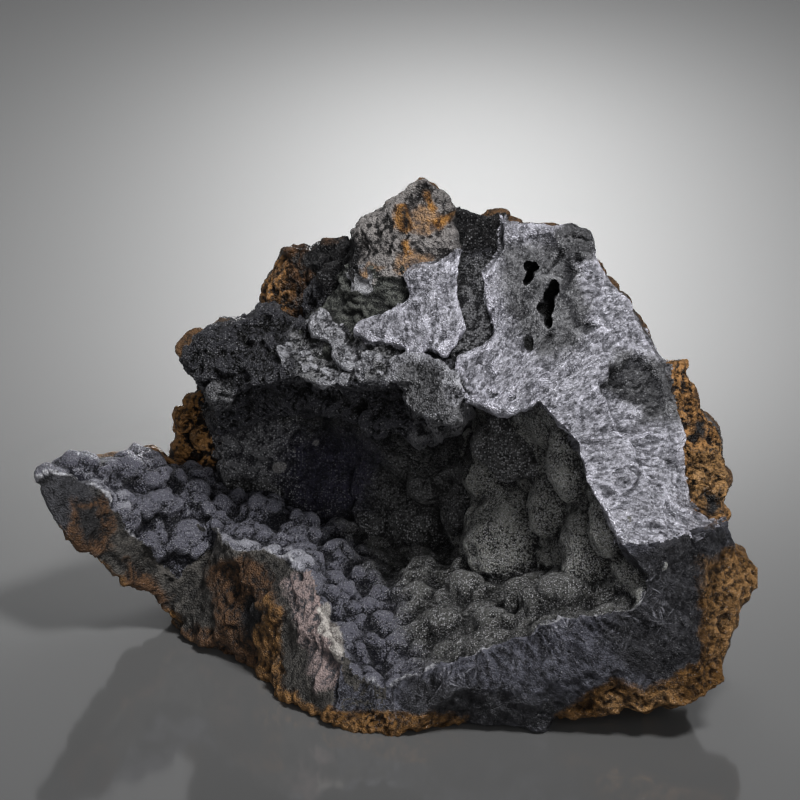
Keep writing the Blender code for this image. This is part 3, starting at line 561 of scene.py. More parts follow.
def build_blocks(names=None, grown=True):
    bm = bmesh.new()
    for name, (outline, inside) in all_blocks():
        if names is None or name in names:
            add_block(bm, outline, inside)
    bmesh.ops.recalc_face_normals(bm, faces=bm.faces[:])
    if grown:
        faces = BVHTree.FromBMesh(bm)
        for eggs in GROWN.values():
            add_grown(bm, faces, eggs)
    return bm


def build_grown(kind):
    bm = bmesh.new()
    add_grown(bm, search_tree(build_blocks(grown=False)), GROWN[kind])
    return bm


def build_rind_hull():
    bm = bmesh.new()
    for _, (outline, inside) in all_blocks():
        for corner in outline + inside:
            bm.verts.new(seen(*corner))
    for x, y, z in RIND_CORNERS:
        bm.verts.new((x - CENTRE_X, y - CENTRE_Y, z))
    bmesh.ops.convex_hull(bm, input=bm.verts[:])
    bmesh.ops.delete(bm, geom=[vert for vert in bm.verts if not vert.link_faces], context="VERTS")
    return bm


def build_vault():
    (x, y, z), half = VAULT
    bm = bmesh.new()
    add_egg(bm, (x - CENTRE_X, y - CENTRE_Y, z), half)
    return bm


def build_slot(outline, back, deep):
    """A cutter from in front of the face to the slot's floor."""
    bm = bmesh.new()
    add_block(bm, [(across, up, back - deep) for across, up in outline], [], back + deep)
    bmesh.ops.recalc_face_normals(bm, faces=bm.faces[:])
    return bm


def add_remesh(made):
    step = made.modifiers.new("even", "REMESH")
    step.mode = "VOXEL"
    step.voxel_size = VOXEL * MM


def add_boolean(made, operation, other):
    step = made.modifiers.new(other.name, "BOOLEAN")
    step.operation = operation
    step.solver = "MANIFOLD"
    step.object = other


def build_body():
    """The fine mesh of the whole stone, before its relief."""
    body = new_object("body", build_blocks())
    cutters = [("INTERSECT", build_rind_hull()), ("DIFFERENCE", build_vault())]
    cutters += [("DIFFERENCE", build_slot(*slot)) for slot in SLOTS]
    made = [body]
    add_remesh(body)
    for index, (operation, bm) in enumerate(cutters):
        made.append(new_object(f"cutter_{index}", bm))
        add_boolean(body, operation, made[-1])
    add_remesh(body)
    graph = bpy.context.evaluated_depsgraph_get()
    mesh = bpy.data.meshes.new_from_object(body.evaluated_get(graph))
    for old in made:
        bpy.data.objects.remove(old)
    return mesh


def piece_finder(shapes):
    """A search tree of the faces of these shapes, with the piece that each face belongs to."""
    points = []
    polygons = []
    owners = []
    for block, bm in shapes:
        owner = next(i for i, name in enumerate(ORDER) if block in PIECES[name][2])
        bm.verts.index_update()
        first = len(points)
        points.extend(vert.co.copy() for vert in bm.verts)
        polygons.extend([first + vert.index for vert in face.verts] for face in bm.faces)
        owners.extend([owner] * len(bm.faces))
        bm.free()
    return BVHTree.FromPolygons(points, polygons), np.array(owners)


def how_far(tree, points):
    return np.array([tree.find_nearest(point)[3] for point in points])


def find_owners(points):
    """The piece that each point belongs to, and how far the point is from every broken face."""
    shapes = [(name, build_blocks((name,), grown=False)) for name, _ in all_blocks()]
    shapes += [(block, build_grown(block)) for block in GROWN if block != "bead"]
    shapes += [("vault", build_vault())]
    shapes += [("slot", build_slot(*slot)) for slot in SLOTS]
    faces, owner_of_face = piece_finder(shapes)
    fronts = bmesh.new()
    for _, (outline, inside) in all_blocks():
        add_front(fronts, outline, inside)
    asked = [Vector(point) for point in strayed(points, *EDGE_WANDER)]
    found = [faces.find_nearest(point)[2:] for point in asked]
    owners = owner_of_face[[face for face, _ in found]]
    away = np.array([near for _, near in found])
    hull_away = how_far(search_tree(build_rind_hull()), asked)
    front_away = how_far(search_tree(fronts), asked)
    outer = (hull_away < HULL_NEAR) & (front_away > FRONT_REACH)
    owners[(hull_away < away - HULL_LEAD) | outer] = ORDER.index("rear_rind")
    outside = (points[:, 0] < CRUST_LEFT - CENTRE_X) & (points[:, 1] > CRUST_BACK - CENTRE_Y)
    owners[outside & np.isin(owners, CRUST)] = ORDER.index("limonite_rind")
    return owners, front_away


def fractal(points, wide, octaves=3):
    return np.array([noise.fractal(Vector(point), 1.0, 2.0, octaves) for point in points / wide])


def strayed(points, far, wide):
    """These places, each moved a little by smooth noise."""
    return points + far * np.array([noise.noise_vector(Vector(point)) for point in points / wide])


def domes(points, wide, fill=0.72):
    """Rounded grains of this width: 1 at the middle of each and 0 in the seams."""
    away = np.array([noise.voronoi(Vector(point))[0][0] for point in points / wide])
    return np.sqrt(np.clip(1 - (away / fill) ** 2, 0, 1))


def flakes(points, wide):
    """Flat chips of this width, each tilted and raised in its own way."""
    heights = []
    for point in points / wide:
        place = Vector(point)
        middle = noise.voronoi(place)[1][0]
        tilt = noise.noise_vector(middle * 7.3)
        heights.append((place - middle).dot(tilt) + 0.35 * noise.noise(middle * 5.1))
    return np.array(heights)


def smoothed(values, edges, rounds):
    """Averages a value of each point with its neighbours', time after time."""
    flat = values.reshape(len(values), -1).astype(float)
    counts = np.bincount(edges.ravel(), minlength=len(flat)).astype(float)
    for _ in range(rounds):
        for column in range(flat.shape[1]):
            value = flat[:, column]
            total = np.bincount(edges[:, 0], value[edges[:, 1]], len(flat))
            total += np.bincount(edges[:, 1], value[edges[:, 0]], len(flat))
            flat[:, column] = 0.5 * value + 0.5 * total / counts
    return flat.reshape(values.shape)


SCATTER_TRIES = 40000


def scatter(points, spacing, random):
    """Chooses points no nearer to each other than spacing."""
    kept = []
    cells = {}
    for index in random.permutation(len(points))[:SCATTER_TRIES]:
        point = points[index]
        x, y, z = (int(c) for c in np.floor(point / spacing))
        near = [
            other for i in (x - 1, x, x + 1) for j in (y - 1, y, y + 1) for k in (z - 1, z, z + 1)
            for other in cells.get((i, j, k), ())
        ]
        if all(np.sum((other - point) ** 2) > spacing ** 2 for other in near):
            cells.setdefault((x, y, z), []).append(point)
            kept.append(point)
    return kept


def caps(points, spacing, small, large, sink, random):
    """How far scattered rounded lumps raise each of these points. Each is sunk by part of its radius."""
    middles = scatter(points, spacing, random)
    radii = small + (large - small) * random.random(len(middles)) ** 1.5
    tree = kdtree.KDTree(len(middles))
    for index, middle in enumerate(middles):
        tree.insert(middle, index)
    tree.balance()
    heights = np.zeros(len(points))
    for index, point in enumerate(points):
        for _, lump, away in tree.find_range(point, large):
            if away < radii[lump]:
                rise = math.sqrt(radii[lump] ** 2 - away ** 2) - sink * radii[lump]
                heights[index] = max(heights[index], rise)
    return heights


def fibre_places(points):
    """Places that run round the hollow, outwards from it, and back, so that noise on them is fibrous."""
    across, up = readings(points)
    across, up = across - FIBRE_CENTRE[0], up - FIBRE_CENTRE[1]
    return np.stack([np.arctan2(across, up) * FIBRE_TURN, np.hypot(across, up), points[:, 1]], axis=1)


def pits(points, wide, share=0.2):
    """Small hollows of about this width: 1 where deepest."""
    return np.clip((fractal(points + 50, wide, 2) - share) * 4, 0, 1)


def ramp(value, start, length):
    """Goes from 0 to 1 as the value goes on from start by this length, which may be negative."""
    return np.clip((value - start) / length, 0, 1)


def fading(away, wide, full):
    """1 close to something and 0 far from it. The 1 reaches as far as this part of the width."""
    return np.clip(1 + full - away / wide, 0, 1)


def line_distance(across, up, line):
    away = np.full(len(across), np.inf)
    for (ax, ay), (bx, by) in zip(line, line[1:]):
        right, rise = bx - ax, by - ay
        along = np.clip(((across - ax) * right + (up - ay) * rise) / (right ** 2 + rise ** 2), 0, 1)
        away = np.minimum(away, np.hypot(across - ax - along * right, up - ay - along * rise))
    return away


def polygon_depth(across, up, outline):
    """How deep inside an outline each reading lies. Outside it is negative."""
    ring = outline + outline[:1]
    inside = np.zeros(len(across), dtype=bool)
    for (ax, ay), (bx, by) in zip(ring, ring[1:]):
        if ay != by:
            crossed = (ay > up) != (by > up)
            inside ^= crossed & (across < ax + (up - ay) / (by - ay) * (bx - ax))
    away = line_distance(across, up, ring)
    return np.where(inside, away, -away)


def steps(across, up):
    """How far the steps lower the surface at each reading."""
    fall = np.zeros(len(across))
    for outline, (right, rise), depth, length in STEPS:
        inside = np.clip(0.5 + polygon_depth(across, up, outline) / STEP_EDGE, 0, 1)
        along = across * right + up * rise
        start = min(x * right + y * rise for x, y in outline)
        fall += inside * depth * (1 - ramp(along, start, length))
    return fall


class Surface:
    """The points of one piece, and what its relief is made from."""

    def __init__(self, points, masks, random):
        self.points = points
        self.wild = strayed(points, 2.2, 6)
        self.across, self.up = readings(points)
        self.masks = masks
        self.random = random

    def fractal(self, wide, octaves=3):
        return fractal(self.points, wide, octaves)

    def domes(self, wide):
        return domes(self.points, wide)

    def pits(self, wide, share=0.2):
        return pits(self.points, wide, share)

    def flakes(self, wide):
        return flakes(self.wild, wide)

    def caps(self, spacing, small, large, sink):
        return caps(self.points, spacing, small, large, sink, self.random)


# How far the relief of each piece raises its points.
def bright_relief(at):
    feathers = fibre_places(at.wild) / (1, 2.6, 1)
    fine = 0.55 * flakes(feathers, 3.2) + 0.3 * flakes(feathers, 1.4) + 0.25 * fractal(feathers, 0.8)
    rough = np.clip(0.6 + 1.3 * fractal(at.points + 31, 13), 0.25, 1.1)
    dark_grains_and_crevice_shade = at.masks["dark_grains_and_crevice_shade"]
    pitted = ramp(at.up, 72, -4) * ramp(at.across, 26, -4) + dark_grains_and_crevice_shade
    return (1.1 * at.fractal(15) + 0.9 * at.flakes(7) + rough * fine
            - steps(*readings(strayed(at.points, 0.8, 3))) - pitted * (1.6 * at.pits(2.2) - 0.4)
            + dark_grains_and_crevice_shade * (0.5 * at.domes(1.6) + 0.9 * at.flakes(2.6)))


def ledge_relief(at):
    return 0.9 * at.flakes(3.8) + 0.6 * at.flakes(1.7) + 0.3 * at.fractal(1.0) + 0.3


def recess_relief(at):
    ribs = fractal(strayed(at.points, 1.0, 5) / (6, 3, 1), 1.3)
    return 0.5 * at.fractal(7) + 1.4 * ribs + 0.3 * at.domes(1.2) - 0.5


def peak_relief(at):
    x, y, z = at.points.T
    slant = np.stack([x + z, y, (z - x) / 3], axis=1)
    knobs = ramp(at.across, 2, -5) * ramp(at.up, 96, 4)
    return (0.9 * at.fractal(8) + 0.6 * at.flakes(5) + 0.3 * at.flakes(1.9)
            + 0.3 * fractal(slant, 1.5) + 0.2 * at.fractal(0.9)
            + knobs * (1.2 * domes(at.wild, 2.6) + 0.5 * at.domes(1.3))
            - 0.4 * at.pits(2.0, 0.4))


def granular_relief(at):
    return (1.5 * at.fractal(8, 4) + 0.7 * domes(at.wild, 6.0) + 0.55 * domes(at.wild, 2.6)
            + 0.45 * at.domes(1.1) - 0.9 * at.pits(2.4, 0.2) - 0.9)


def slot_relief(at):
    return 0.5 * at.flakes(2.2) + 0.4 * at.fractal(1.5) - 0.4


def front_relief(at):
    needles = fractal(fibre_places(at.points) / (1, 5, 1), 1.3)
    splinters = flakes(fibre_places(at.wild) / (1, 3, 1), 1.6)
    crumbs = 0.9 * at.flakes(4) + 0.7 * at.flakes(1.8) + 0.4 * at.fractal(1.4)
    return (0.9 * at.fractal(11) + 0.35 * at.flakes(6) + 0.2 * at.fractal(1.0)
            + (0.25 + 0.6 * at.masks["near_rim"]) * (needles + 0.8 * splinters)
            + at.masks["ochre"] * crumbs)


def edge_relief(at):
    rough = (1.2 * at.fractal(5, 4) + 1.1 * at.flakes(3.6) + 0.6 * at.flakes(1.6)
             - 0.7 * at.pits(3.2, 0.3) + 0.1)
    folds = fractal(strayed(at.points, 1.2, 5) / (1, 1, 2.4), 2.0)
    return (1.2 * at.fractal(9) + 0.4 * at.flakes(3.6) + 0.25 * at.fractal(1.6)
            + np.clip(at.masks["ochre"] + at.masks["umber"], 0, 1) * rough
            + at.masks["pink"] * 1.4 * folds + at.masks["rim"] * 0.9 * at.domes(1.1))


def limonite_relief(at):
    return (0.3 * at.caps(6.5, 2.8, 5.0, 0.6) + 0.9 * at.fractal(7, 4) + 1.9 * at.flakes(4.6)
            + 1.1 * at.flakes(2.2) + 0.35 * flakes(at.points, 1.1)
            - 0.5 * at.pits(3.0, 0.35) - 0.4)


def rear_relief(at):
    lumps = 0.8 * at.caps(11.5, 4.4, 7.6, 0.55) + 1.2 * at.fractal(9) + 1.5 * at.flakes(5.4)
    chipped = lumps + 0.8 * at.flakes(2.4) - 0.6 * at.pits(3.6, 0.3) - 0.8
    return at.masks["rear"] * chipped + 0.35 * flakes(at.points, 1.2)


def crust_relief(at):
    inner = ramp(at.across, -24, 8)
    druse = at.masks["olive"]
    return ((0.8 - 0.2 * inner + 0.3 * druse) * at.caps(8.5, 4.6, 8.6, 0.66)
            + (0.8 + 0.3 * inner) * (1 - 0.7 * druse) * at.caps(3.9, 2.2, 4.2, 0.42)
            + 0.4 * (1 - 0.5 * druse) * at.caps(2.2, 1.1, 2.2, 0.45)
            + 0.15 * at.domes(1.1) + 0.4 * at.fractal(9) - 2.0
            + at.masks["rim"] * 0.6 * at.domes(1.1))


def lobe_relief(at):
    return (0.8 * at.fractal(10) + 0.35 * at.caps(7.0, 3.6, 6.6, 0.75)
            + 0.2 * at.caps(3.0, 1.4, 2.8, 0.6) + 0.15 * at.domes(1.1) - 0.4)


def lining_relief(at):
    grains_and_painted_light, bead = at.masks["grains_and_painted_light"], at.masks["bead"]
    grains = grains_and_painted_light * (0.9 * domes(at.wild, 3.2) + 0.7 * at.domes(1.5) - 0.8 * at.pits(2.4))
    smooth = np.clip(1 - grains_and_painted_light - bead, 0, 1)
    return (0.8 * at.fractal(16) + 0.7 * smooth * at.caps(7.5, 4.0, 8.0, 0.75)
            + 0.25 * at.domes(1.4) - 0.6 + grains + bead * 0.8)


# The rind underneath is cut from the rear rind after its relief, so it has none of its own.
RELIEFS = {
    "bright_fracture": bright_relief, "ledge_fracture": ledge_relief, "ribbed_recess": recess_relief,
    "peak_fracture": peak_relief, "dark_granular": granular_relief, "slot_walls": slot_relief,
    "front_wall": front_relief, "broken_edge": edge_relief, "limonite_rind": limonite_relief,
    "rear_rind": rear_relief, "botryoidal_crust": crust_relief, "druse_lobes": lobe_relief,
    "hollow_lining": lining_relief,
}


def find_masks(points, front_away):
    """How strongly each stain, patch, painted shade, painted light or kind of relief shows at each point."""
    across, up = readings(strayed(points, *PATCH_WANDER))
    masks = {}
    for name, outlines in PATCHES.items():
        depth = np.max([polygon_depth(across, up, outline) for outline in outlines], axis=0)
        masks[name] = np.clip(0.5 + depth / PATCH_SOFT[name], 0, 1)
    away = np.min([line_distance(across, up, line) for line in RIMS], axis=0)
    masks["near_rim"] = fading(away, NEAR_RIM, 0.2)
    away = np.min([line_distance(across, up, line) for line in FROST], axis=0)
    masks["frost"] = fading(away, FROST_WIDE, 0.1)
    bright = np.maximum(ramp(across, *SPARK_RIGHT), ramp(up, *SPARK_LOW))
    masks["spark"] = np.where(across < SPARK_LEFT, 1, np.maximum(bright, SPARK_LEAST))
    beads = search_tree(build_grown("bead"))
    found = [beads.find_nearest(Vector(point), BEAD_REACH)[3] for point in points]
    masks["bead"] = np.array([0.0 if near is None else 1 - near / BEAD_REACH for near in found])
    masks["rear"] = np.maximum(ramp(front_away, REAR_START, REAR_RISE), REAR_LEAST)
    masks["edge"] = fading(front_away, REAR_EDGE, 0.4)
    return masks


def find_rim(owners, edges, near_rim, patchy):
    """The thin edge between the crust and the broken faces: 1 where they meet."""
    share = smoothed(np.isin(owners, CRUST).astype(float), edges, RIM_ROUNDS)
    meeting = np.clip(0.9 - 1.1 * np.abs(2 * share - 1), 0, 1)
    return meeting * np.clip(near_rim * 4 - 2.4, 0, 1) * patchy


def read_values(items, key, columns, kind=float):
    """One value of each of these items of a mesh, as an array with this many columns."""
    values = np.empty(len(items) * columns, dtype=kind)
    items.foreach_get(key, values)
    return values.reshape(-1, columns)


def stands_out(here, around, normals, full):
    """From 0 in a dip to 1 on a rise that stands this high over the smoothed surface around it."""
    return np.clip(0.5 + np.sum((here - around) * normals, axis=1) / (2 * full), 0, 1)


def shape_body(mesh):
    """Raises the relief. Gives the points, the piece of each, and the values that the materials read."""
    points = read_values(mesh.vertices, "co", 3) / MM
    edges = read_values(mesh.edges, "vertices", 2, np.int64)
    normals = smoothed(read_values(mesh.vertices, "normal", 3), edges, SHAPE_ROUNDS)
    normals /= np.linalg.norm(normals, axis=1)[:, None]

    owners, front_away = find_owners(points)
    masks = find_masks(points, front_away)
    patchy = np.clip(0.75 + 1.2 * fractal(points, 5), 0, 1)
    masks["rim"] = find_rim(owners, edges, masks["near_rim"], patchy)
    random = np.random.default_rng(SEED)
    heights = np.zeros(len(points))
    for index in np.unique(owners):
        at = np.nonzero(owners == index)[0]
        here = {key: mask[at] for key, mask in masks.items()}
        heights[at] = RELIEFS[ORDER[index]](Surface(points[at], here, random))
    under = (owners == ORDER.index("rear_rind")) & (points[:, 2] < UNDER_TOP)
    owners[under] = ORDER.index("under_rind")
    moved = points + normals * smoothed(heights, edges, 1)[:, None]
    for far, wide in WANDER:
        moved = strayed(moved, far, wide)
    low, high = (np.array(corner) / MM for corner in cad_box)
    moved = np.clip(moved, low, high)

    rounds, full = CREST
    near = smoothed(moved, edges, rounds)
    masks["crest"] = stands_out(moved, near, normals, full)
    rounds, full = SWELL
    masks["swell"] = stands_out(near, smoothed(near, edges, rounds), normals, full)
    return moved, owners, masks


def make_piece(name, points, quads, fibres, masks):
    """A mesh object of these four-sided faces, with its values for the material."""
    used, index = np.unique(quads, return_inverse=True)
    mesh = bpy.data.meshes.new(name)
    mesh.vertices.add(len(used))
    mesh.vertices.foreach_set("co", (points[used] * MM).ravel())
    mesh.loops.add(quads.size)
    mesh.loops.foreach_set("vertex_index", index.ravel().astype(np.int32))
    mesh.polygons.add(len(quads))
    mesh.polygons.foreach_set("loop_start", np.arange(len(quads), dtype=np.int32) * 4)
    mesh.update(calc_edges=True)
    mesh.shade_smooth()
    for key, mask in masks.items():
        attribute = mesh.attributes.new(key, "FLOAT", "POINT")
        attribute.data.foreach_set("value", mask[used].astype(np.float32))
    attribute = mesh.attributes.new("fibre", "FLOAT_VECTOR", "POINT")
    attribute.data.foreach_set("vector", fibres[used].astype(np.float32).ravel())
    return add_object(name, mesh)


class Shader:
    """Builds the node material of one piece."""

    def __init__(self, name):
        self.material = bpy.data.materials.new(name)
        self.material.use_nodes = True
        self.tree = self.material.node_tree
        self.surface = self.tree.nodes["Principled BSDF"]
        place = self.add("ShaderNodeTexCoord").outputs["Object"]
        self.place = self.vector("SCALE", place, scale=1 / MM)

    def add(self, kind, **settings):
        node = self.tree.nodes.new(kind)
        for key, value in settings.items():
            setattr(node, key, value)
        return node

    def put(self, socket, value):
        if isinstance(value, bpy.types.NodeSocket):
            self.tree.links.new(value, socket)
        elif isinstance(value, tuple) and len(value) == 3 and socket.type == "RGBA":
            socket.default_value = (*value, 1.0)
        else:
            socket.default_value = value

    def vector(self, operation, a, b=None, scale=None):
        node = self.add("ShaderNodeVectorMath", operation=operation)
        self.put(node.inputs[0], a)
        if b is not None:
            self.put(node.inputs[1], b)
        if scale is not None:
            self.put(node.inputs["Scale"], scale)
        return node.outputs["Value" if operation == "LENGTH" else "Vector"]

    def maths(self, operation, a, b):
        node = self.add("ShaderNodeMath", operation=operation)
        self.put(node.inputs[0], a)
        self.put(node.inputs[1], b)
        return node.outputs[0]

    def plus(self, a, b):
        return self.maths("ADD", a, b)

    def times(self, a, b):
        return self.maths("MULTIPLY", a, b)

    def between(self, value, low, high, start=0.0, end=1.0):
        """A smooth step from start to end as the value goes from low to high."""
        node = self.add("ShaderNodeMapRange", interpolation_type="SMOOTHSTEP")
        for socket, given in zip(node.inputs[:5], (value, low, high, start, end)):
            self.put(socket, given)
        return node.outputs[0]

    def mix(self, part, a, b):
        node = self.add("ShaderNodeMix", data_type="RGBA")
        self.put(node.inputs[0], part)
        self.put(node.inputs[6], a)
        self.put(node.inputs[7], b)
        return node.outputs[2]

    def blend(self, part, a, b):
        """This part of b with the rest of a."""
        return self.plus(self.times(a, 1 - part), self.times(b, part))

    def value(self, name):
        return self.add("ShaderNodeAttribute", attribute_name=name).outputs["Fac"]

    def fibres(self, stretch):
        """Places along and across the fibres, stretched by this much each way."""
        places = self.add("ShaderNodeAttribute", attribute_name="fibre").outputs["Vector"]
        return self.vector("MULTIPLY", places, stretch)

    def noise(self, per_mm, detail=3.0, rough=0.55, place=None):
        node = self.add("ShaderNodeTexNoise")
        self.put(node.inputs["Vector"], place or self.place)
        node.inputs["Scale"].default_value = per_mm
        node.inputs["Detail"].default_value = detail
        node.inputs["Roughness"].default_value = rough
        return node.outputs[0]

    def cells(self, per_mm, place=None):
        node = self.add("ShaderNodeTexVoronoi")
        self.put(node.inputs["Vector"], place or self.place)
        node.inputs["Scale"].default_value = per_mm
        return node

    def stain_or_paint_light(self, base, name, colours, tone, broken=0.7):
        """Lays two mingled colours over the base where the piece's value says: a stain, painted shade or
        painted light.
        """
        edge = self.plus(self.value(name), self.times(self.noise(1.3, 5, 0.65), broken))
        part = self.between(edge, 0.25 + broken / 2, 0.75 + broken / 2)
        mingled = self.blend(0.6, self.noise(0.5, 6, 0.65), tone)
        return self.mix(part, base, self.mix(self.between(mingled, 0.33, 0.67), *colours))

    def finish(self, colour, roughness, metallic, height, depth, facets):
        """Sets the surface, with a bump of this height and depth in millimetres, and leaning facets."""
        self.put(self.surface.inputs["Base Color"], colour)
        self.put(self.surface.inputs["Roughness"], roughness)
        self.put(self.surface.inputs["Metallic"], metallic)
        bump = self.add("ShaderNodeBump")
        bump.inputs["Strength"].default_value = 1.0
        bump.inputs["Distance"].default_value = depth * MM
        self.put(bump.inputs["Height"], height)
        leaning = self.vector("ADD", bump.outputs["Normal"], facets)
        self.put(self.surface.inputs["Normal"], self.vector("NORMALIZE", leaning))
        return self.material


# The darkest and the lightest colour of each stain, and of each patch of painted shade and painted light.
STAIN_AND_PAINTED_LIGHT_COLOURS = {
    "ochre": ((0.03, 0.015, 0.006), (0.25, 0.125, 0.037)),
    "amber": ((0.10, 0.045, 0.016), (0.56, 0.27, 0.07)),
    "blush": ((0.16, 0.12, 0.10), (0.54, 0.33, 0.18)),
    "umber": ((0.007, 0.004, 0.003), (0.115, 0.056, 0.024)),
    "tan": ((0.030, 0.016, 0.007), (0.40, 0.22, 0.085)),
    "pale": ((0.16, 0.14, 0.13), (0.6, 0.56, 0.52)),
    "pink": ((0.05, 0.05, 0.058), (0.38, 0.29, 0.275)),
    "dark": ((0.003, 0.003, 0.004), (0.020, 0.019, 0.020)),
    # Dark grains, and the painted shadow of the crevice.
    "dark_grains_and_crevice_shade": ((0.02, 0.02, 0.022), (0.2, 0.2, 0.21)),
    "blue": ((0.008, 0.008, 0.014), (0.042, 0.040, 0.066)),
    "olive": ((0.007, 0.007, 0.007), (0.135, 0.135, 0.128)),
    "dusty": ((0.016, 0.016, 0.018), (0.20, 0.20, 0.21)),
    "lip": ((0.020, 0.020, 0.022), (0.30, 0.30, 0.31)),
    # The painted light on the hollow's grainy left back wall.
    "grains_and_painted_light": ((0.018, 0.018, 0.022), (0.17, 0.17, 0.18)),
    # Painted shade of the tongue's end and the front wall.
    "painted_shade": ((0.008, 0.008, 0.010), (0.060, 0.060, 0.068)),
    "shade": ((0.045, 0.045, 0.050), (0.20, 0.20, 0.21)),
    "frost": ((0.02, 0.02, 0.03), (0.46, 0.46, 0.52)),
    "rim": ((0.02, 0.02, 0.03), (0.62, 0.62, 0.66)),
    "silver": ((0.18, 0.18, 0.19), (0.48, 0.48, 0.51)),
    # Darker upper bright face, and the painted shade of the step's recess.
    "darker_top_and_recess_shade": ((0.07, 0.07, 0.075), (0.33, 0.33, 0.345)),
    "edge": ((0.010, 0.010, 0.010), (0.13, 0.125, 0.12)),
    "bead": ((0.07, 0.07, 0.07), (0.26, 0.25, 0.25)),
}

class Look(NamedTuple):
    """How a piece looks."""

    dark: tuple  # its darkest colour
    light: tuple  # its lightest colour
    rough: float
    metal: float
    # Its tiny crystals: how many to a millimetre, the share of them that catch the light, how
    # brightly, and how far they lean.
    crystals: tuple
    # Its stains, painted shade and painted light, one over the other.
    stains_and_painted_light: tuple = ()  # one over the other
    grain: float = 0.4  # how much each crystal has its own tone
    fibrous: float = 0.0  # how much its fibres show
    facets: float = 0.0  # how far its broken facets lean
    depth: float = 0.6  # of its finest relief, in millimetres
    # Lighter crests and darker pits are painted shade.
    relief: float = 0.6  # how much lighter its crests are than its pits
    contrast: float = 0.2  # how far from the middle tone the darkest and lightest tones are


LOOKS = {
    "bright_fracture": Look(
        (0.21, 0.21, 0.235), (0.78, 0.77, 0.86), 0.36, 0.5, (2.6, 0.14, 0.6, 0.8),
        ("darker_top_and_recess_shade", "shade", "dark_grains_and_crevice_shade"), grain=0.12, fibrous=0.5, facets=0.7, depth=0.7, relief=0.55,
        contrast=0.16),
    "ledge_fracture": Look(
        (0.05, 0.05, 0.055), (0.52, 0.52, 0.56), 0.40, 0.4, (2.6, 0.2, 0.5, 0.6),
        ("dusty",), grain=0.2, facets=0.7, depth=0.8, relief=0.5),
    "ribbed_recess": Look(
        (0.010, 0.011, 0.010), (0.13, 0.135, 0.12), 0.6, 0.1, (3.2, 0.1, 0.2, 0.4), ("silver",)),
    "peak_fracture": Look(
        (0.024, 0.022, 0.022), (0.34, 0.315, 0.305), 0.5, 0.25, (2.6, 0.1, 0.35, 0.5),
        ("silver", "blush", "amber", "dark"), grain=0.12, facets=0.4, depth=0.7, relief=0.8,
        contrast=0.14),
    "dark_granular": Look(
        (0.002, 0.002, 0.002), (0.062, 0.062, 0.072), 0.36, 0.35, (2.6, 0.35, 0.4, 1.0),
        ("dusty", "lip", "dark"), grain=0.6, depth=0.7),
    # Near black: painted shade inside the slots.
    "slot_walls": Look(
        (0.003, 0.003, 0.003), (0.05, 0.05, 0.055), 0.5, 0.2, (3.0, 0.1, 0.2, 0.5),
        grain=0.3, depth=0.5),
    "front_wall": Look(
        (0.026, 0.026, 0.032), (0.14, 0.142, 0.174), 0.42, 0.4, (3.4, 0.1, 0.3, 0.5),
        ("painted_shade", "ochre", "tan", "rim"), grain=0.15, fibrous=0.4, facets=0.6),
    "broken_edge": Look(
        (0.012, 0.011, 0.010), (0.085, 0.078, 0.070), 0.6, 0.1, (2.6, 0.05, 0.1, 0.2),
        ("painted_shade", "pink", "umber", "ochre", "tan", "frost", "pale", "dark", "rim"),
        grain=0.2, facets=0.2, depth=0.5),
    "limonite_rind": Look(
        (0.010, 0.005, 0.003), (0.42, 0.21, 0.072), 0.40, 0.0, (2.4, 0.1, 0.1, 0.3),
        ("tan", "umber", "dark"), grain=0.15, facets=0.9, depth=0.8, relief=0.7, contrast=0.17),
    "rear_rind": Look(
        (0.012, 0.007, 0.004), (0.16, 0.080, 0.030), 0.68, 0.0, (2.4, 0.1, 0.1, 0.3),
        ("ochre", "edge"), grain=0.25, facets=0.4, depth=0.7, relief=0.45),
    "botryoidal_crust": Look(
        (0.007, 0.007, 0.011), (0.175, 0.175, 0.215), 0.40, 0.3, (3.2, 0.65, 0.9, 1.0),
        ("olive", "frost", "rim", "pale"), relief=0.45),
    "druse_lobes": Look(
        (0.010, 0.010, 0.010), (0.33, 0.33, 0.305), 0.38, 0.3, (3.2, 0.75, 1.0, 1.0),
        ("rim",), relief=0.3),
    "hollow_lining": Look(
        (0.008, 0.008, 0.008), (0.085, 0.085, 0.085), 0.4, 0.3, (2.6, 0.6, 0.7, 1.0),
        ("grains_and_painted_light", "blue", "bead"), depth=0.5, relief=0.4),
}
LOOKS["under_rind"] = LOOKS["rear_rind"]
GLINT = (0.85, 0.85, 0.88)  # the colour of a crystal that catches the light
NEEDLE = (0.40, 0.40, 0.45)  # and of the bright needles along the front rim


def chance(shader, cells):
    """Two numbers from 0 to 1 that each cell has of its own."""
    pick = shader.add("ShaderNodeSeparateColor")
    shader.put(pick.inputs[0], cells.outputs["Color"])
    return pick.outputs[0], pick.outputs[1]


def lean_of(shader, cells, far):
    """Which way the surface of each cell leans, and how far."""
    lean_by = shader.vector("SUBTRACT", cells.outputs["Color"], (0.5, 0.5, 0.5))
    return shader.vector("SCALE", lean_by, scale=far)


def sprays(shader):
    """Fans of needles, each running out from a middle of its own: light needles near 1, dark near 0."""
    cells = shader.cells(0.2)
    apart = shader.add("ShaderNodeSeparateXYZ")
    away = shader.vector("SUBTRACT", shader.place, cells.outputs["Position"])
    shader.put(apart.inputs[0], away)
    turn = shader.maths("ARCTAN2", apart.outputs["X"], apart.outputs["Z"])
    fan = shader.add("ShaderNodeCombineXYZ")
    shader.put(fan.inputs["X"], shader.times(turn, 5.0))
    shader.put(fan.inputs["Y"], shader.times(shader.vector("LENGTH", away), 0.3))
    shader.put(fan.inputs["Z"], apart.outputs["Y"])
    return shader.noise(1.0, 3, 0.6, fan.outputs[0])


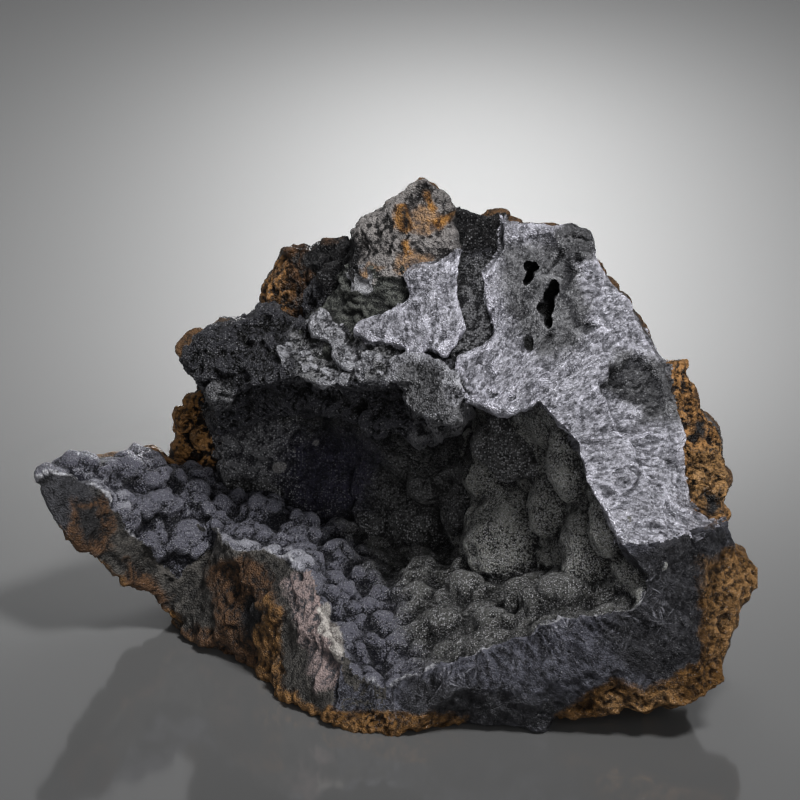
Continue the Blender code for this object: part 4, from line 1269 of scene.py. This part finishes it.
def needles(shader, colour):
    """Bright needle sprays along the front rim."""
    bright = shader.between(sprays(shader), 0.54, 0.66)
    patchy = shader.times(shader.value("near_rim"), shader.between(shader.noise(0.12, 2), 0.4, 0.6))
    return shader.mix(shader.times(bright, patchy), colour, NEEDLE)


def shifted(shader, tone, value, amount):
    """The tone, raised or lowered by this much as the value goes from 0 to 1."""
    return shader.plus(tone, shader.times(shader.maths("SUBTRACT", value, 0.5), amount))


def tone_and_height(shader, name, look, crystals):
    """How light the surface is, about 0 to 1, and the height of its finest relief."""
    away = crystals.outputs["Distance"]
    fine = shader.noise(2.2, 6, 0.7)
    tone = shader.blend(0.35, fine, shader.noise(0.16, 4))
    height = shader.maths("SUBTRACT", fine, away)
    if look.fibrous:
        along = shader.noise(1.0, 4, 0.65, shader.fibres((2.4, 0.3, 0.8)))
        if name == "front_wall":
            along = shader.blend(0.5, along, sprays(shader))
        tone = shader.blend(look.fibrous, tone, along)
        height = shader.plus(height, shader.times(along, look.fibrous * 2))
    tone = shifted(shader, tone, chance(shader, crystals)[1], look.grain)
    tone = shifted(shader, tone, away, -look.grain)
    # Painted shade: crests and swellings lighter, the dips between them darker.
    tone = shifted(shader, tone, shader.value("crest"), look.relief)
    return shifted(shader, tone, shader.value("swell"), 0.2 if look.facets else 0.5), height


def broken_facets(shader, tone, lean):
    """Small and large facets that lean by up to this much: the tone with theirs, and their leaning."""
    small = shader.cells(1.9, shader.fibres((1.2, 0.6, 1.0)))
    large = shader.cells(0.5, shader.fibres((1.0, 0.6, 1.0)))
    tone = shifted(shader, tone, chance(shader, small)[0], 0.15)
    return tone, shader.vector("ADD", lean_of(shader, small, lean), lean_of(shader, large, lean))


def sparkle(shader, name, crystals, share):
    """1 at the middle of this share of the crystals, 0 elsewhere, and weaker in the dips."""
    raised = shader.blend(0.5, shader.value("crest"), shader.value("swell"))
    middle = shader.between(crystals.outputs["Distance"], 0.3, 0.55, 1.0, 0.0)
    lit = shader.times(middle, shader.between(raised, 0.3, 0.6, 0.3, 1.0))
    if name in ("druse_lobes", "hollow_lining"):
        lit = shader.times(lit, shader.value("spark"))
    if name == "botryoidal_crust":
        lit = shader.times(lit, shader.between(shader.value("olive"), 0.0, 1.0, 0.45, 1.0))
    return shader.times(shader.between(chance(shader, crystals)[0], 1 - share, 1.0), lit)


def rock_material(name):
    look = LOOKS[name]
    shader = Shader(name)
    per_mm, share, shine, lean = look.crystals
    crystals = shader.cells(per_mm)
    lit = sparkle(shader, name, crystals, share)
    leaning = shader.vector("SCALE", lean_of(shader, crystals, lean), scale=lit)
    tone, height = tone_and_height(shader, name, look, crystals)
    if look.facets:
        tone, facets = broken_facets(shader, tone, look.facets)
        leaning = shader.vector("ADD", facets, leaning)
    colour = shader.mix(
        shader.between(tone, 0.5 - look.contrast, 0.5 + look.contrast), look.dark, look.light)
    # Stains, painted shade and painted light, one over the other.
    for stain in look.stains_and_painted_light:
        colour = shader.stain_or_paint_light(colour, stain, STAIN_AND_PAINTED_LIGHT_COLOURS[stain], tone)
    if name == "front_wall":
        colour = needles(shader, colour)
    colour = shader.mix(shader.times(lit, shine), colour, GLINT)
    rough = shader.between(lit, 0.0, 1.0, look.rough, 0.25)
    return shader.finish(colour, rough, look.metal, height, look.depth, leaning)


def build_stone():
    mesh = build_body()
    points, owners, masks = shape_body(mesh)
    quads = read_values(mesh.polygons, "vertices", 4, np.int64)
    face_owner = np.sort(owners[quads], axis=1)[:, 1]
    fibres = fibre_places(points)
    for index, (name, (slot, node, _)) in enumerate(PIECES.items()):
        piece = make_piece(name, points, quads[face_owner == index], fibres, masks)
        piece.data.materials.append(rock_material(name))
        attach(piece, "root")
        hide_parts(node)


PICTURE_MM = 160.0  # what the picture shows from side to side
PICTURE_UP = 66.0  # the reading, up, at the middle of the picture
CAMERA_AWAY = 5.0  # how far the camera is from the stone, in metres
FLOOR_HALF = 6000.0


def add_camera():
    sight = math.radians(SIGHT_DEG)
    target = seen(0.0, PICTURE_UP, CENTRE_Y) * MM
    data = bpy.data.cameras.new("camera")
    data.lens = data.sensor_width * CAMERA_AWAY / (PICTURE_MM * MM)
    data.clip_end = 100
    camera = add_object("camera", data)
    camera.location = target + CAMERA_AWAY * Vector((0, -math.cos(sight), math.sin(sight)))
    camera.rotation_euler = (math.pi / 2 - sight, 0, 0)
    bpy.context.scene.camera = camera


def add_lamp(data, place, towards):
    lamp = add_object(data.name, data)
    lamp.location = place
    lamp.rotation_euler = (Vector(towards) - Vector(place)).to_track_quat("-Z", "Y").to_euler()


def add_light(name, place, size, watts, towards=(0, 0, 0.04), long=None):
    """A soft panel of light, square or, with a second length, a rectangle."""
    data = bpy.data.lights.new(name, "AREA")
    data.energy = watts
    data.size = size
    if long:
        data.shape = "RECTANGLE"
        data.size_y = long
    add_lamp(data, place, towards)


def add_spot(name, place, radius, watts, degrees, towards):
    data = bpy.data.lights.new(name, "SPOT")
    data.energy = watts
    data.shadow_soft_size = radius
    data.spot_size = math.radians(degrees)
    data.spot_blend = 1.0
    add_lamp(data, place, towards)


def add_floor():
    bm = bmesh.new()
    bmesh.ops.create_grid(bm, x_segments=1, y_segments=1, size=FLOOR_HALF)
    floor = new_object("floor", bm)
    material = bpy.data.materials.new("floor")
    material.use_nodes = True
    surface = material.node_tree.nodes["Principled BSDF"]
    surface.inputs["Base Color"].default_value = (0.11, 0.11, 0.11, 1)
    surface.inputs["Roughness"].default_value = 0.08
    floor.data.materials.append(material)


def add_stage():
    add_floor()
    world = bpy.data.worlds.new("studio")
    bpy.context.scene.world = world
    world.use_nodes = True
    air = world.node_tree.nodes["Background"]
    air.inputs["Color"].default_value = (0.8, 0.82, 0.86, 1)
    air.inputs["Strength"].default_value = 0.12
    add_spot("key", (0.35, -0.6, 1.2), 0.17, 105, 20, (0, 0.02, 0.03))
    add_light("fill", (-0.9, -1.2, 0.5), 0.8, 2)
    add_light("front", (0.3, -1.3, 0.5), 0.7, 5)
    add_light("back", (0.0, 1.1, 0.6), 0.8, 0.6, (0, 0, 0.1))
    # A low panel behind the stone, out of sight, brightens the floor there.
    add_light("pool", (0.014, 0.215, 0.08), 0.03, 0.95, (0.014, 0.215, 0), 0.23)
    bpy.context.scene.view_settings.view_transform = "Standard"


noise.seed_set(SEED)  # without it, smooth noise would start elsewhere in each run
build_stone()
add_camera()
add_stage()
